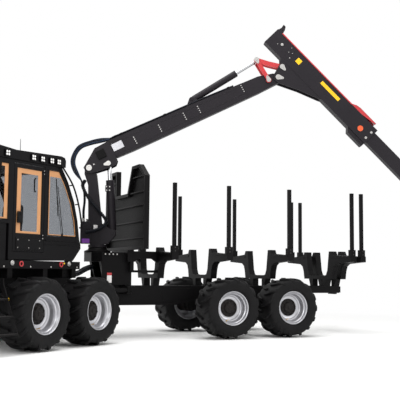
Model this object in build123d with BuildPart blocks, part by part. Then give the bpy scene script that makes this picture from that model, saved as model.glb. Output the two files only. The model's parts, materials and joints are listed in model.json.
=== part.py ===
from build123d import *
import math
import os

# Forestry forwarder: eight driven wheels, a load space behind and a knuckle-boom crane.
# Millimetres. While a piece is drawn, the ground is z = 0, +X points forward, +Y to the left
# and x = 0 lies over the middle of the rear bogies. Pieces of the front frame are drawn
# straight, from the steering joint forward, and pieces of the crane are drawn in the plane
# of its booms, with x along the booms. Each is then turned to its place, and the whole
# machine is moved so that its origin is the middle of the tow pin's bore.

# Wheels
tyre_radius = 660.0
tyre_width = 710.0
tyre_crown_width = 560.0
tyre_carcass_radius = 618.0
tyre_bulge_radius = 500.0
wheel_sides = 16
lugs_per_half = 10
lug_width = 78.0
lug_sweep = 150.0
rim_radius = 366.0
rim_seat_radius = 345.0
rim_flange_width = 15.0
rim_dish_depth = 235.0
rim_disc_thickness = 30.0
hub_radius = 190.0
wheel_spacing = 1500.0
half_track = 1190.0
seat_gap = 0.3
running_gap = 6.0

# Rear frame
frame_half_width = 330.0
beam_width = 120.0
frame_top = 1120.0
frame_bottom = 700.0
saddle_bottom = 815.0
frame_front = 3320.0
frame_throat = frame_front - 230.0
neck_top = 1290.0
neck_rear = 2960.0
frame_rear = -2810.0
tail_bottom = 950.0
tow_pin_bore = 50.0
tow_pin_x = -2860.0
tow_pin_z = 1010.0

# Load space
bunk_places = (2090.0, 800.0, -740.0, -2460.0, -2730.0)
bunk_depth = 150.0
bunk_half_width = 1420.0
bunk_shoulder_top = 1835.0
bunk_shoulder_bottom = 1700.0
bunk_leg_top = 1965.0
bunk_leg_y = 560.0
bunk_base = 1290.0
bunk_foot_thickness = 85.0
stake_y = 1348.0
stake_top = 3320.0
stake_length = 78.0
stake_thickness = 62.0
stake_socket_height = 150.0
stake_socket_wall = 26.0
headgate_x = 2700.0
headgate_depth = 110.0
headgate_half_width = 1300.0
headgate_bottom = 1900.0
headgate_top = 3725.0
headgate_corner_width = 370.0
headgate_corner_height = 275.0
headgate_notch_left = 210.0
headgate_notch_left_top = 485.0
headgate_notch_right = -530.0
headgate_notch_bottom = 3150.0
headgate_bar = 70.0

# Steering joint
joint_x = 3760.0
steer_rest = 33.7
joint_radius = 170.0
joint_pin_radius = 55.0
joint_top = 1250.0
joint_bottom = 770.0
joint_gap = 6.0
throat_top = joint_top - 120.0

# Front frame, measured forward from the steering joint
front_bogie_x = 1875.0
front_beam_rear = 475.0
front_end = 4120.0
front_half_width = 340.0
front_top = 1290.0
front_bottom = 830.0
rail_bottom = 1465.0
rail_top = 1610.0
rail_rear = 1060.0

# Cab
cab_half_width = 900.0
cab_wall = 45.0
cab_floor = 1630.0
cab_eaves = 3440.0
cab_rear_foot = 1110.0
cab_rear_top = 1640.0
cab_front_foot = 3440.0
cab_front_top = 3300.0
cowl_rear = 3010.0
cowl_top = 2270.0
roof_top = cab_eaves + 190.0
roof_overhang = 35.0
sill_height = 2095.0
head_band = 80.0
door_rear = 2110.0
door_front = 2905.0
door_bottom = 1775.0
door_top = cab_eaves - 65.0
door_gap = 8.0
door_frame_width = 62.0
door_thickness = 45.0
door_glass_bottom = sill_height
glass_thickness = 12.0

# Crane, in the plane of its booms: x away from the column, z up
crane_x = 3350.0
crane_rest = 22.0
column_pin = (-210.0, 3690.0)
lift_base_pin = (320.0, 2270.0)
lift_pin = (223.0, 3801.0)
jib_base_pin = (2040.0, 5280.0)
rocker_pin = (3768.0, 5760.0)
jib_pin = (3980.0, 5832.0)
link_pin = (4082.0, 6075.0)
rod_pin = (3497.0, 6217.0)
jib_angle = -45.4
jib_tail = 790.0
jib_reach = 2430.0
jib_underside = 355.0
jib_height = 425.0
jib_wall = 12.0
boom_half_width = 120.0
jib_half_width = 118.0
extension_height = 300.0
extension_half_width = 96.0
extension_out = 1880.0
extension_held = 1480.0
column_half_width = 165.0
slew_top = 1950.0
slew_bottom = 1840.0
column_pin_radius = 45.0
jib_pin_radius = 42.0
link_pin_radius = 34.0
lift_foot_pin_radius = 32.0
jib_foot_pin_radius = 28.0
tip_pin_radius = 32.0
cross_pin_radius = 28.0
claw_pin_radius = 30.0
rocker_pin_radius = 36.0
lift_eye_half = 70.0
pin_cap = 12.0

# Unit vectors of the two booms in their plane
boom_length = math.dist(column_pin, jib_pin)
boom_dir = ((jib_pin[0] - column_pin[0]) / boom_length, (jib_pin[1] - column_pin[1]) / boom_length)
jib_dir = (math.cos(math.radians(jib_angle)), math.sin(math.radians(jib_angle)))


def along(origin, direction, distance, height):
    """A point of the crane's plane, a distance along a boom and a height square to it."""
    return (origin[0] + direction[0] * distance - direction[1] * height,
            origin[1] + direction[1] * distance + direction[0] * height)


def seen_from(origin, direction, point):
    """A point of the crane's plane as a distance along a boom and a height square to it."""
    x = point[0] - origin[0]
    z = point[1] - origin[1]
    return (x * direction[0] + z * direction[1], z * direction[0] - x * direction[1])


# The extension's middle line and the tip pin at its end
extension_line = jib_underside + jib_height / 2 - 15.0
tip_pin = along(jib_pin, jib_dir, jib_reach + extension_out, extension_line - 60.0)
tip_link_drop = 240.0
rotator_height = 330.0
grapple_drop = 260.0
claw_pin_half = 105.0
grapple_head_z = tip_pin[1] - tip_link_drop
rotator_bottom = grapple_head_z - rotator_height
claw_pin_z = rotator_bottom - grapple_drop

# Steering cylinders, in plan: foot on the rear frame, eye on the front frame drawn straight
steer_foot = (2800.0, 520.0)
steer_eye = (330.0, 330.0)
steer_level = 1030.0
steer_pin_radius = 24.0
steer_foot_half = 56.0
steer_eye_half = 34.0
plate_thickness = 24.0

# Pin to pin lengths of the cylinders when closed
lift_closed = 1290.0
jib_closed = 1290.0
steer_closed = 975.0

# sizes end here

hitch = Location((-tow_pin_x, 0, -tow_pin_z))
rear_place = hitch
front_place = hitch * Location((joint_x, 0, 0), (0, 0, steer_rest))
crane_place = hitch * Location((crane_x, 0, 0), (0, 0, 180 - crane_rest))

os.makedirs("parts", exist_ok=True)


def save(piece, name, place):
    """Turn a drawn piece to its place on the machine, name it and write its file."""
    placed = place * piece.part
    placed.label = name
    export_step(placed, f"parts/{name}.step")


def side_plane(origin, direction):
    """A plane of the crane, x along a boom and y square to it, its normal to the side."""
    return Plane(origin=(origin[0], 0, origin[1]), x_dir=(direction[0], 0, direction[1]),
                 z_dir=(0, -1, 0))


# Wheels: a tyre with two rows of swept lugs and a dished rim with its hub
bead_width = tyre_width / 2 - 55
lug_reach = tyre_width / 2 - 12
lug_x = (lug_sweep + lug_width) / 2
lug_top = math.sqrt(tyre_radius ** 2 - lug_x ** 2)
lug_root = tyre_bulge_radius - 12
with BuildPart() as lug:
    with BuildSketch(Plane.XY.offset(lug_root)):
        with BuildLine():
            Polyline(
                (lug_x - lug_width, 12), (lug_x, 12), (lug_width - lug_x, lug_reach), (-lug_x, lug_reach),
                close=True)
        make_face()
    extrude(amount=lug_top - lug_root)
    with BuildSketch(Plane.YZ.offset(lug_x + 10)):
        with BuildLine():
            Polyline(
                (tyre_crown_width / 2 - 20, lug_top + 1), (lug_reach + 10, lug_top + 1),
                (lug_reach + 10, tyre_carcass_radius - 28), close=True)
        make_face()
    extrude(amount=-2 * lug_x - 20, mode=Mode.SUBTRACT)

bead_seat_radius = rim_radius + 6
shoulder_width = (tyre_width - tyre_crown_width) / 2
shoulder_drop = (tyre_carcass_radius - 6 - tyre_bulge_radius) * math.cos(math.pi / wheel_sides)
shoulder_slope = math.degrees(math.atan(shoulder_drop / shoulder_width))
with BuildPart() as tyre:
    with BuildSketch(Plane.XZ):
        RegularPolygon(tyre_carcass_radius - 6, wheel_sides)
    extrude(amount=tyre_crown_width / 2, both=True)
    for end_face in tyre.faces().filter_by(Axis.Y):
        extrude(end_face, amount=shoulder_width, taper=shoulder_slope)
    for side in (1, -1):
        with BuildSketch(Plane.XZ.offset(-side * bead_width)):
            RegularPolygon(bead_seat_radius, wheel_sides)
        extrude(amount=-side * (tyre_width / 2 - bead_width), mode=Mode.SUBTRACT)
    lug_step = 360 / lugs_per_half
    for half, turned in ((1, 0), (-1, lug_step / 2)):
        row = lug.part if half == 1 else lug.part.mirror(Plane.XZ)
        for index in range(lugs_per_half):
            add(row.rotate(Axis.Y, turned + index * lug_step))
    with BuildSketch(Plane.XZ.offset(bead_width)):
        RegularPolygon(rim_seat_radius, wheel_sides)
    extrude(amount=-2 * bead_width, mode=Mode.SUBTRACT)

flange_outer = bead_width + seat_gap + rim_flange_width
disc_face = flange_outer - rim_dish_depth
hub_inner = half_track - 805.0
hub_cap_radius = 70.0
hub_cap_height = 34.0
with BuildPart() as rim:
    with BuildSketch(Plane.XZ.offset(-bead_width - seat_gap)):
        RegularPolygon(rim_seat_radius - seat_gap, wheel_sides)
    extrude(amount=2 * (bead_width + seat_gap))
    for distance in (-flange_outer, bead_width + seat_gap):
        with BuildSketch(Plane.XZ.offset(distance)):
            RegularPolygon(rim_radius, wheel_sides)
        extrude(amount=rim_flange_width)
    for face, disc in ((flange_outer, disc_face), (-flange_outer, disc_face - rim_disc_thickness)):
        with BuildSketch(Plane.XZ.offset(-face)):
            RegularPolygon(rim_seat_radius - 24, wheel_sides)
        extrude(amount=face - disc, mode=Mode.SUBTRACT)
    with BuildSketch(Plane.XZ.offset(-disc_face - 24)):
        RegularPolygon(hub_radius, 12)
    extrude(amount=disc_face + 24 + hub_inner - seat_gap)
    with BuildSketch(Plane.XZ.offset(-disc_face - 24)):
        Circle(hub_cap_radius)
    extrude(amount=-hub_cap_height)

wheel_table = (  # name, frame, place along the frame, side
    ("front_left_1", "front", front_bogie_x + wheel_spacing / 2, 1),
    ("front_left_2", "front", front_bogie_x - wheel_spacing / 2, 1),
    ("front_right_1", "front", front_bogie_x + wheel_spacing / 2, -1),
    ("front_right_2", "front", front_bogie_x - wheel_spacing / 2, -1),
    ("rear_left_1", "rear", wheel_spacing / 2, 1),
    ("rear_left_2", "rear", -wheel_spacing / 2, 1),
    ("rear_right_1", "rear", wheel_spacing / 2, -1),
    ("rear_right_2", "rear", -wheel_spacing / 2, -1),
)
for wheel_name, frame_name, wheel_x, wheel_side in wheel_table:
    frame_place = front_place if frame_name == "front" else rear_place
    wheel_turn = 0 if wheel_side == 1 else 180
    wheel_spot = Location((wheel_x, wheel_side * half_track, tyre_radius))
    save(tyre, f"tyre_{wheel_name}", frame_place * wheel_spot)
    save(rim, f"rim_{wheel_name}", frame_place * wheel_spot * Location((0, 0, 0), (0, 0, wheel_turn)))

# Bogies: an axle tube, a cast beam on each side and the spindle bosses in the hubs
bogie_inner = 560.0
bogie_outer = 805.0
boss_radius = 165.0
axle_half_height = 150.0


def bogie(middle_x, frame_under):
    """An axle with its two bogie beams, as wide as the track leaves room for."""
    with BuildPart() as axle:
        for side in (1, -1):
            with BuildSketch(Plane.XZ.offset(-side * (bogie_inner + bogie_outer) / 2)):
                with BuildLine():
                    Polyline(
                        (middle_x - wheel_spacing / 2 - 120, tyre_radius - 110),
                        (middle_x - 260, tyre_radius - 175), (middle_x + 260, tyre_radius - 175),
                        (middle_x + wheel_spacing / 2 + 120, tyre_radius - 110),
                        (middle_x + wheel_spacing / 2 + 150, tyre_radius),
                        (middle_x + wheel_spacing / 2 + 120, tyre_radius + 110),
                        (middle_x + 260, tyre_radius + 175), (middle_x - 260, tyre_radius + 175),
                        (middle_x - wheel_spacing / 2 - 120, tyre_radius + 110),
                        (middle_x - wheel_spacing / 2 - 150, tyre_radius), close=True)
                make_face()
            extrude(amount=(bogie_outer - bogie_inner) / 2 - 30, both=True)
            for wheel_x in (middle_x - wheel_spacing / 2, middle_x + wheel_spacing / 2):
                with BuildSketch(Plane.XZ.offset(-side * (bogie_outer - 60))):
                    with Locations((wheel_x, tyre_radius)):
                        RegularPolygon(boss_radius, 12)
                extrude(amount=-side * 60)
        with BuildSketch(Plane.XZ.offset(-bogie_inner - 60)):
            with Locations((middle_x, tyre_radius)):
                RegularPolygon(axle_half_height, 8)
        extrude(amount=2 * (bogie_inner + 60))
        with BuildSketch(Plane.XY.offset(tyre_radius)):
            with Locations((middle_x, 0)):
                Rectangle(420, 2 * (frame_half_width - 10))
        extrude(amount=frame_under - tyre_radius)
    return axle


rear_bogie = bogie(0, saddle_bottom)
save(rear_bogie, "rear_bogie", rear_place)
front_bogie = bogie(front_bogie_x, front_bottom)
save(front_bogie, "front_bogie", front_place)

# Rear frame: two long beams with cross members, a raised tail and the tow lugs
cross_members = (  # middle, length, bottom, top
    (frame_front - 140, 280, throat_top, neck_top),
    (frame_throat - 170, 300, frame_bottom, neck_top),
    (1450, 140, frame_bottom + 60, frame_top - 40),
    (0, 460, saddle_bottom, frame_top - 20),
    (-1400, 140, saddle_bottom + 60, frame_top - 40),
    (-2730, 160, tail_bottom, frame_top),
)
cover_top = frame_top - 62
cover_bottom = frame_bottom + 63
cover_middle = (cover_top + cover_bottom) / 2
with BuildPart() as rear_chassis:
    for side in (1, -1):
        with BuildSketch(Plane.XZ.offset(-side * frame_half_width)):
            with BuildLine():
                Polyline(
                    (frame_front, neck_top), (frame_front, throat_top), (frame_throat, throat_top),
                    (frame_throat, frame_bottom), (1600, frame_bottom), (1050, saddle_bottom),
                    (-1350, saddle_bottom), (-2000, tail_bottom), (frame_rear, tail_bottom),
                    (frame_rear, frame_top), (neck_rear, frame_top), (neck_rear + 110, neck_top), close=True)
            make_face()
        extrude(amount=side * beam_width)
        with BuildSketch(Plane.XZ.offset(-side * frame_half_width)):
            with BuildLine():
                Polyline(
                    (frame_throat, frame_bottom), (frame_throat, frame_bottom + 22),
                    (1600, frame_bottom + 22),
                    (1600, frame_bottom), close=True)
            make_face()
        extrude(amount=-side * 34)
        with BuildSketch(Plane.XZ.offset(-side * frame_half_width)):
            with BuildLine():
                Polyline(
                    (2960, cover_middle), (2880, cover_top), (2180, cover_top), (2100, cover_middle),
                    (2180, cover_bottom), (2880, cover_bottom), close=True)
            make_face()
            with BuildLine():
                Polyline(
                    (1960, cover_middle), (1880, cover_top), (1250, cover_top), (1170, cover_middle),
                    (1250, cover_bottom + 80), (1880, cover_bottom), close=True)
            make_face()
        extrude(amount=-side * 8)
        for level in (steer_level + steer_foot_half + 2, steer_level - steer_foot_half - 2 - plate_thickness):
            with BuildSketch(Plane.XY.offset(level)):
                with BuildLine():
                    Polyline(
                        (steer_foot[0] - 150, side * (frame_half_width - 5)),
                        (steer_foot[0] + 150, side * (frame_half_width - 5)),
                        (steer_foot[0] + 50, side * (steer_foot[1] + 50)),
                        (steer_foot[0] - 50, side * (steer_foot[1] + 50)), close=True)
                make_face()
            extrude(amount=plate_thickness)
        with BuildSketch(Plane.XY.offset(steer_level)):
            with Locations((steer_foot[0], side * steer_foot[1])):
                Circle(steer_pin_radius)
        extrude(amount=steer_foot_half + 2 + plate_thickness + pin_cap, both=True)
    for middle, length, bottom, top in cross_members:
        with BuildSketch(Plane.XY.offset(bottom)):
            with Locations((middle, 0)):
                Rectangle(length, 2 * (frame_half_width - beam_width / 2))
        extrude(amount=top - bottom)
    for height in (tow_pin_z + 60, tow_pin_z - 95):
        with BuildSketch(Plane.XY.offset(height)):
            with BuildLine():
                Polyline(
                    (frame_rear + 10, -150), (tow_pin_x - 30, -95), (tow_pin_x - 75, -40),
                    (tow_pin_x - 75, 40), (tow_pin_x - 30, 95), (frame_rear + 10, 150), close=True)
            make_face()
            with Locations((tow_pin_x, 0)):
                Circle(tow_pin_bore / 2, mode=Mode.SUBTRACT)
        extrude(amount=35)
save(rear_chassis, "rear_chassis", rear_place)

# Joint casting: the rear frame's fork, its two ears round the steering pin
ear_thickness = 75.0
casting_half = 190.0
with BuildPart() as joint_casting:
    with BuildSketch(Plane.XZ):
        with BuildLine():
            Polyline(
                (frame_throat, frame_bottom + 60), (frame_throat + 70, joint_bottom),
                (joint_x - 60, joint_bottom),
                (joint_x - 60, joint_bottom + ear_thickness), (joint_x - 240, joint_bottom + ear_thickness),
                (joint_x - 320, joint_bottom + 150), (joint_x - 320, joint_top - 140),
                (joint_x - 240, joint_top - ear_thickness), (joint_x - 60, joint_top - ear_thickness),
                (joint_x - 60, joint_top), (frame_front, joint_top), (frame_front, throat_top),
                (frame_throat, throat_top), close=True)
        make_face()
    extrude(amount=casting_half, both=True)
    for bottom in (joint_top - ear_thickness, joint_bottom):
        with BuildSketch(Plane.XY.offset(bottom)):
            with Locations((joint_x, 0)):
                RegularPolygon(joint_radius, 16)
        extrude(amount=ear_thickness)
    with BuildSketch(Plane.XY.offset(joint_bottom)):
        with Locations((joint_x, 0)):
            Circle(joint_pin_radius)
    extrude(amount=joint_top - joint_bottom + pin_cap)
save(joint_casting, "joint_casting", rear_place)

# Bunks: a trough between two tall shoulders, five in a row
with BuildPart() as bunks:
    for bunk_x in bunk_places:
        with BuildSketch(Plane.YZ.offset(bunk_x)) as bunk_face:
            with BuildLine():
                Polyline(
                    (0, bunk_base), (frame_half_width - beam_width, bunk_base),
                    (frame_half_width - beam_width, frame_top), (frame_half_width, frame_top),
                    (frame_half_width + 60, bunk_base), (bunk_leg_y + 45, bunk_base), (bunk_leg_y + 80, 1480),
                    (bunk_leg_y + 130, 1600), (bunk_leg_y + 230, bunk_shoulder_bottom - 40),
                    (bunk_half_width, bunk_shoulder_bottom), (bunk_half_width, bunk_shoulder_top),
                    (stake_y - 90, bunk_shoulder_top), (bunk_leg_y + 95, bunk_shoulder_top + 40),
                    (bunk_leg_y + 45, bunk_leg_top),
                    (bunk_leg_y - 60, bunk_leg_top), (bunk_leg_y - 130, 1500),
                    (bunk_leg_y - 190, bunk_base + bunk_foot_thickness + 15),
                    (bunk_leg_y - 270, bunk_base + bunk_foot_thickness),
                    (0, bunk_base + bunk_foot_thickness), close=True)
            make_face()
            mirror(about=Plane.YZ)
        extrude(amount=bunk_depth / 2, both=True)
save(bunks, "bunks", rear_place)

# Stakes: ten uprights in their sockets on the bunks' shoulders
with BuildPart() as stakes:
    stake_spots = [(bunk_x, side * stake_y) for bunk_x in bunk_places for side in (1, -1)]
    with BuildSketch(Plane.XY.offset(bunk_shoulder_top)):
        with Locations(*stake_spots):
            Rectangle(stake_length + 2 * stake_socket_wall, stake_thickness + 2 * stake_socket_wall)
    extrude(amount=stake_socket_height)
    with BuildSketch(Plane.XY.offset(bunk_shoulder_top + stake_socket_height)):
        with Locations(*stake_spots):
            Rectangle(stake_length, stake_thickness)
    extrude(amount=stake_top - bunk_shoulder_top - stake_socket_height)
save(stakes, "stakes", rear_place)

# Headgate: a frame of bars with slats, notched for the lowered boom, in front of the load
gate_inner = headgate_half_width - headgate_bar
gate_sheet = 14.0
gate_rail = 26.0
notch_slope = (headgate_notch_left_top - headgate_notch_left) / (headgate_top - headgate_notch_bottom)
with BuildPart() as headgate:
    with BuildSketch(Plane.YZ.offset(headgate_x)):
        with BuildLine():
            Polyline(
                (-headgate_half_width, headgate_bottom), (headgate_half_width, headgate_bottom),
                (headgate_half_width, headgate_top - headgate_corner_height),
                (headgate_half_width - headgate_corner_width, headgate_top),
                (headgate_notch_left_top, headgate_top),
                (headgate_notch_left, headgate_notch_bottom), (headgate_notch_right, headgate_notch_bottom),
                (headgate_notch_right, headgate_top),
                (headgate_corner_width - headgate_half_width, headgate_top),
                (-headgate_half_width, headgate_top - headgate_corner_height), close=True)
        make_face()
        with BuildLine():
            Polyline(
                (-gate_inner, headgate_bottom + headgate_bar), (gate_inner, headgate_bottom + headgate_bar),
                (gate_inner, headgate_top - headgate_corner_height - 25),
                (gate_inner - headgate_corner_width + 45, headgate_top - headgate_bar),
                (headgate_notch_left_top + headgate_bar / 2, headgate_top - headgate_bar),
                (headgate_notch_left + headgate_bar / 2, headgate_notch_bottom - headgate_bar),
                (headgate_notch_right - headgate_bar, headgate_notch_bottom - headgate_bar),
                (headgate_notch_right - headgate_bar, headgate_top - headgate_bar),
                (headgate_corner_width - gate_inner - 45, headgate_top - headgate_bar),
                (-gate_inner, headgate_top - headgate_corner_height - 25), close=True)
        make_face(mode=Mode.SUBTRACT)
    extrude(amount=headgate_depth / 2, both=True)
    with BuildSketch(Plane.YZ.offset(headgate_x - headgate_depth / 2)):
        with BuildLine():
            Polyline(
                (-gate_inner - 30, headgate_bottom + 30), (gate_inner + 30, headgate_bottom + 30),
                (gate_inner + 30, headgate_top - headgate_corner_height - 15),
                (gate_inner - headgate_corner_width + 40, headgate_top - 35),
                (headgate_notch_left_top + headgate_bar / 4, headgate_top - 35),
                (headgate_notch_left + headgate_bar / 4, headgate_notch_bottom - 35),
                (headgate_notch_right - 35, headgate_notch_bottom - 35),
                (headgate_notch_right - 35, headgate_top - 35),
                (headgate_corner_width - gate_inner - 40, headgate_top - 35),
                (-gate_inner - 30, headgate_top - headgate_corner_height - 15), close=True)
        make_face()
    extrude(amount=gate_sheet)
    with BuildSketch(Plane.YZ.offset(headgate_x - headgate_depth / 2 + gate_sheet)):
        for part_of_height in (0.2, 0.48, 0.76):
            level = headgate_bottom + part_of_height * (headgate_notch_bottom - headgate_bottom)
            with Locations((0, level)):
                Rectangle(2 * gate_inner + 40, gate_rail)
        for level in (headgate_notch_bottom - 15, (headgate_notch_bottom + headgate_top) / 2 + 30):
            notch_left = headgate_notch_left + max(level - headgate_notch_bottom, 0) * notch_slope
            for low, high in ((notch_left, gate_inner), (-gate_inner, headgate_notch_right)):
                with Locations(((low + high) / 2, level)):
                    Rectangle(high - low - 20, gate_rail)
    extrude(amount=headgate_depth - 40)
save(headgate, "headgate", rear_place)

# Crane pedestal: a bridge over the hydraulics with the ribbed cone of the slewing base on it,
# and two arched beams back to the first bunk
pedestal_half = 420.0
pedestal_rear = 2700.0
pedestal_plate = 140.0
pedestal_front = 3470.0
pedestal_nose = 3570.0
deck_bottom = slew_bottom - 200
side_beam_y = bunk_leg_y - 30
bunk_face_x = bunk_places[0] + bunk_depth / 2
with BuildPart() as crane_pedestal:
    with BuildSketch(Plane.XY.offset(deck_bottom)):
        with BuildLine():
            Polyline(
                (pedestal_rear, -pedestal_half), (pedestal_front - 100, -pedestal_half),
                (pedestal_nose, -270),
                (pedestal_nose, 270), (pedestal_front - 100, pedestal_half), (pedestal_rear, pedestal_half),
                close=True)
        make_face()
    extrude(amount=slew_bottom - deck_bottom)
    with BuildSketch(Plane.XY.offset(deck_bottom)):
        with Locations((pedestal_rear + pedestal_plate / 2, 0)):
            Rectangle(pedestal_plate, 2 * side_beam_y + 60)
    extrude(amount=slew_bottom + 50 - deck_bottom)
    for side in (1, -1):
        with BuildSketch(Plane.XZ.offset(-side * pedestal_half)):
            with BuildLine():
                Polyline(
                    (pedestal_rear, frame_top), (pedestal_rear + pedestal_plate, frame_top),
                    (pedestal_rear + pedestal_plate, deck_bottom), (pedestal_rear, deck_bottom), close=True)
            make_face()
            with BuildLine():
                Polyline(
                    (frame_throat - 10, neck_top), (frame_front - 10, neck_top),
                    (pedestal_front - 70, deck_bottom),
                    (frame_throat + 90, deck_bottom), close=True)
            make_face()
        extrude(amount=side * 150)
        with BuildSketch(Plane.XZ.offset(-side * pedestal_half)):
            with BuildLine():
                Polyline(
                    (pedestal_rear + pedestal_plate - 2, throat_top + 10),
                    (frame_front - 40, throat_top + 10),
                    (pedestal_front - 100, 1330), (pedestal_front - 100, slew_bottom - 2),
                    (pedestal_rear + pedestal_plate - 2, slew_bottom - 2), close=True)
            make_face()
        extrude(amount=side * 24)
        with BuildSketch(Plane.XZ.offset(-side * side_beam_y)):
            with BuildLine():
                Polyline(
                    (pedestal_rear + 5, slew_bottom + 30), (bunk_face_x + seat_gap, slew_bottom + 30),
                    (bunk_face_x + seat_gap, deck_bottom - 10), (bunk_face_x + 110, slew_bottom - 130),
                    (pedestal_rear - 110, slew_bottom - 130), (pedestal_rear + 5, deck_bottom - 10),
                    close=True)
            make_face()
            with BuildLine():
                Polyline(
                    (pedestal_rear + 5, 1460), (bunk_face_x + seat_gap, 1460), (bunk_face_x + seat_gap, 1410),
                    (pedestal_rear + 5, 1410), close=True)
            make_face()
        extrude(amount=30, both=True)
        with BuildSketch(Plane.XY.offset(1410)):
            with Locations((pedestal_rear + 40, side * side_beam_y)):
                Rectangle(80, 60)
        extrude(amount=slew_bottom - 1410)
    with BuildSketch(Plane.XY.offset(slew_bottom)):
        for side in (1, -1):
            with Locations((headgate_x + 52, side * side_beam_y)):
                Rectangle(90, 90)
    extrude(amount=headgate_bottom - slew_bottom)
    with BuildSketch(Plane.XZ.shift_origin((crane_x, 0, 0))):
        with BuildLine():
            Polyline(
                (0, slew_bottom - 5), (290, slew_bottom - 5), (290, slew_bottom + 30),
                (215, slew_bottom + 60), (190, slew_top - seat_gap), (0, slew_top - seat_gap), close=True)
        make_face()
    revolve(axis=Axis((crane_x, 0, 0), (0, 0, 1)))
save(crane_pedestal, "crane_pedestal", rear_place)

# Hydraulic block under the pedestal: valves, a filter and the tank between the legs
with BuildPart() as hydraulic_block:
    with BuildSketch(Plane.XY.offset(neck_top)):
        with Locations((frame_throat - 110, 0)):
            Rectangle(200, 420)
    extrude(amount=deck_bottom - neck_top)
    with BuildSketch(Plane.XY.offset(neck_top)):
        with Locations((frame_throat - 110, 262)):
            RegularPolygon(52, 12)
    extrude(amount=270)
save(hydraulic_block, "hydraulic_block", rear_place)

# Rear lamps on the ends of the frame's beams
with BuildPart() as rear_lamps:
    for side in (1, -1):
        with BuildSketch(Plane.YZ.offset(frame_rear - seat_gap)):
            with Locations((side * (frame_half_width - beam_width / 2), (tail_bottom + frame_top) / 2)):
                Rectangle(105, frame_top - tail_bottom - 20)
        extrude(amount=-38)
save(rear_lamps, "rear_lamps", rear_place)

# Front frame: the middle lug of the joint, a deep box and the frame that the cab sits on
tongue_radius = 120.0
with BuildPart() as front_chassis:
    with BuildSketch(Plane.XY.offset(joint_bottom + ear_thickness + joint_gap)):
        Circle(tongue_radius)
        with Locations((front_beam_rear / 2 + 40, 0)):
            Rectangle(front_beam_rear + 80, 2 * tongue_radius - 20)
        Circle(joint_pin_radius + seat_gap, mode=Mode.SUBTRACT)
    extrude(amount=joint_top - joint_bottom - 2 * ear_thickness - 2 * joint_gap)
    for side in (1, -1):
        for level in (steer_level + steer_eye_half + 2, steer_level - steer_eye_half - 2 - plate_thickness):
            with BuildSketch(Plane.XY.offset(level)):
                with BuildLine():
                    Polyline(
                        (front_beam_rear + 5, side * 210),
                        (front_beam_rear + 5, side * (front_half_width - 1)),
                        (steer_eye[0] + 30, side * (steer_eye[1] + 55)),
                        (steer_eye[0] - 40, side * (steer_eye[1] + 40)),
                        (steer_eye[0] - 55, side * (steer_eye[1] - 40)),
                        (steer_eye[0] - 10, side * (steer_eye[1] - 95)),
                        close=True)
                make_face()
            extrude(amount=plate_thickness)
        for level in (steer_level + steer_eye_half + 2 + plate_thickness,
                      steer_level - steer_eye_half - 2 - plate_thickness - pin_cap):
            with BuildSketch(Plane.XY.offset(level)):
                with Locations((steer_eye[0], side * steer_eye[1])):
                    RegularPolygon(steer_pin_radius + 8, 8)
            extrude(amount=pin_cap)
    with BuildSketch(Plane.XZ):
        with BuildLine():
            Polyline(
                (front_beam_rear, front_top - 60), (front_beam_rear, front_bottom + 60),
                (800, front_bottom), (front_end - 350, front_bottom), (front_end, front_bottom + 160),
                (front_end, front_top), (800, front_top), close=True)
        make_face()
    extrude(amount=front_half_width, both=True)
    with BuildSketch(Plane.XY.offset(front_top)):
        for post_x in (rail_rear + 120, 2000, 2920):
            with Locations((post_x, 0)):
                Rectangle(120, 2 * cab_half_width - 60)
    extrude(amount=rail_bottom - front_top)
    with BuildSketch(Plane.XY.offset(rail_bottom)):
        for side in (1, -1):
            with Locations(((rail_rear + cowl_rear + 240) / 2, side * (cab_half_width - 10))):
                Rectangle(cowl_rear + 240 - rail_rear, 60)
        for post_x in (rail_rear + 60, 2000, cowl_rear + 180):
            with Locations((post_x, 0)):
                Rectangle(120, 2 * cab_half_width - 60)
    extrude(amount=rail_top - rail_bottom)
save(front_chassis, "front_chassis", front_place)

# Front guard: the bent bumper plate across the nose, with the cheeks of the bonnet's hinges on it
bonnet_hinge = (front_end + 30, front_top + 75)
bonnet_hinge_y = 420.0
bonnet_hinge_radius = 26.0
bonnet_pin_radius = 12.0
bonnet_knuckle = 60.0
bonnet_cheek = 14.0
with BuildPart() as front_guard:
    with BuildSketch(Plane.XY.offset(front_bottom - 40)):
        with BuildLine():
            Polyline(
                (front_end + 1, -860), (front_end + 1, 860), (front_end + 60, 780),
                (front_end + 90, 500), (front_end + 90, -500), (front_end + 60, -780), close=True)
        make_face()
    extrude(amount=520)
    for side in (1, -1):
        for cheek in (-bonnet_knuckle / 2 - 1, bonnet_knuckle / 2 + 1 + bonnet_cheek):
            with BuildSketch(Plane.XZ.offset(side * bonnet_hinge_y + cheek)):
                with Locations(bonnet_hinge):
                    Circle(bonnet_hinge_radius)
                with BuildLine():
                    Polyline(
                        (bonnet_hinge[0] - bonnet_hinge_radius, bonnet_hinge[1]),
                        (bonnet_hinge[0] + bonnet_hinge_radius, bonnet_hinge[1]),
                        (bonnet_hinge[0] + bonnet_hinge_radius + 10, front_bottom + 470),
                        (bonnet_hinge[0] - bonnet_hinge_radius, front_bottom + 470), close=True)
                make_face()
            extrude(amount=-bonnet_cheek)
        with BuildSketch(Plane.XZ.offset(side * bonnet_hinge_y)):
            with Locations(bonnet_hinge):
                Circle(bonnet_pin_radius)
        extrude(amount=bonnet_knuckle / 2 + 2, both=True)
save(front_guard, "front_guard", front_place)

# Engine: one plain block between the cowl sides
with BuildPart() as engine_block:
    with BuildSketch(Plane.XY.offset(front_top)):
        with Locations((3640, 0)):
            Rectangle(720, 620)
    extrude(amount=620)
save(engine_block, "engine_block", front_place)

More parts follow.
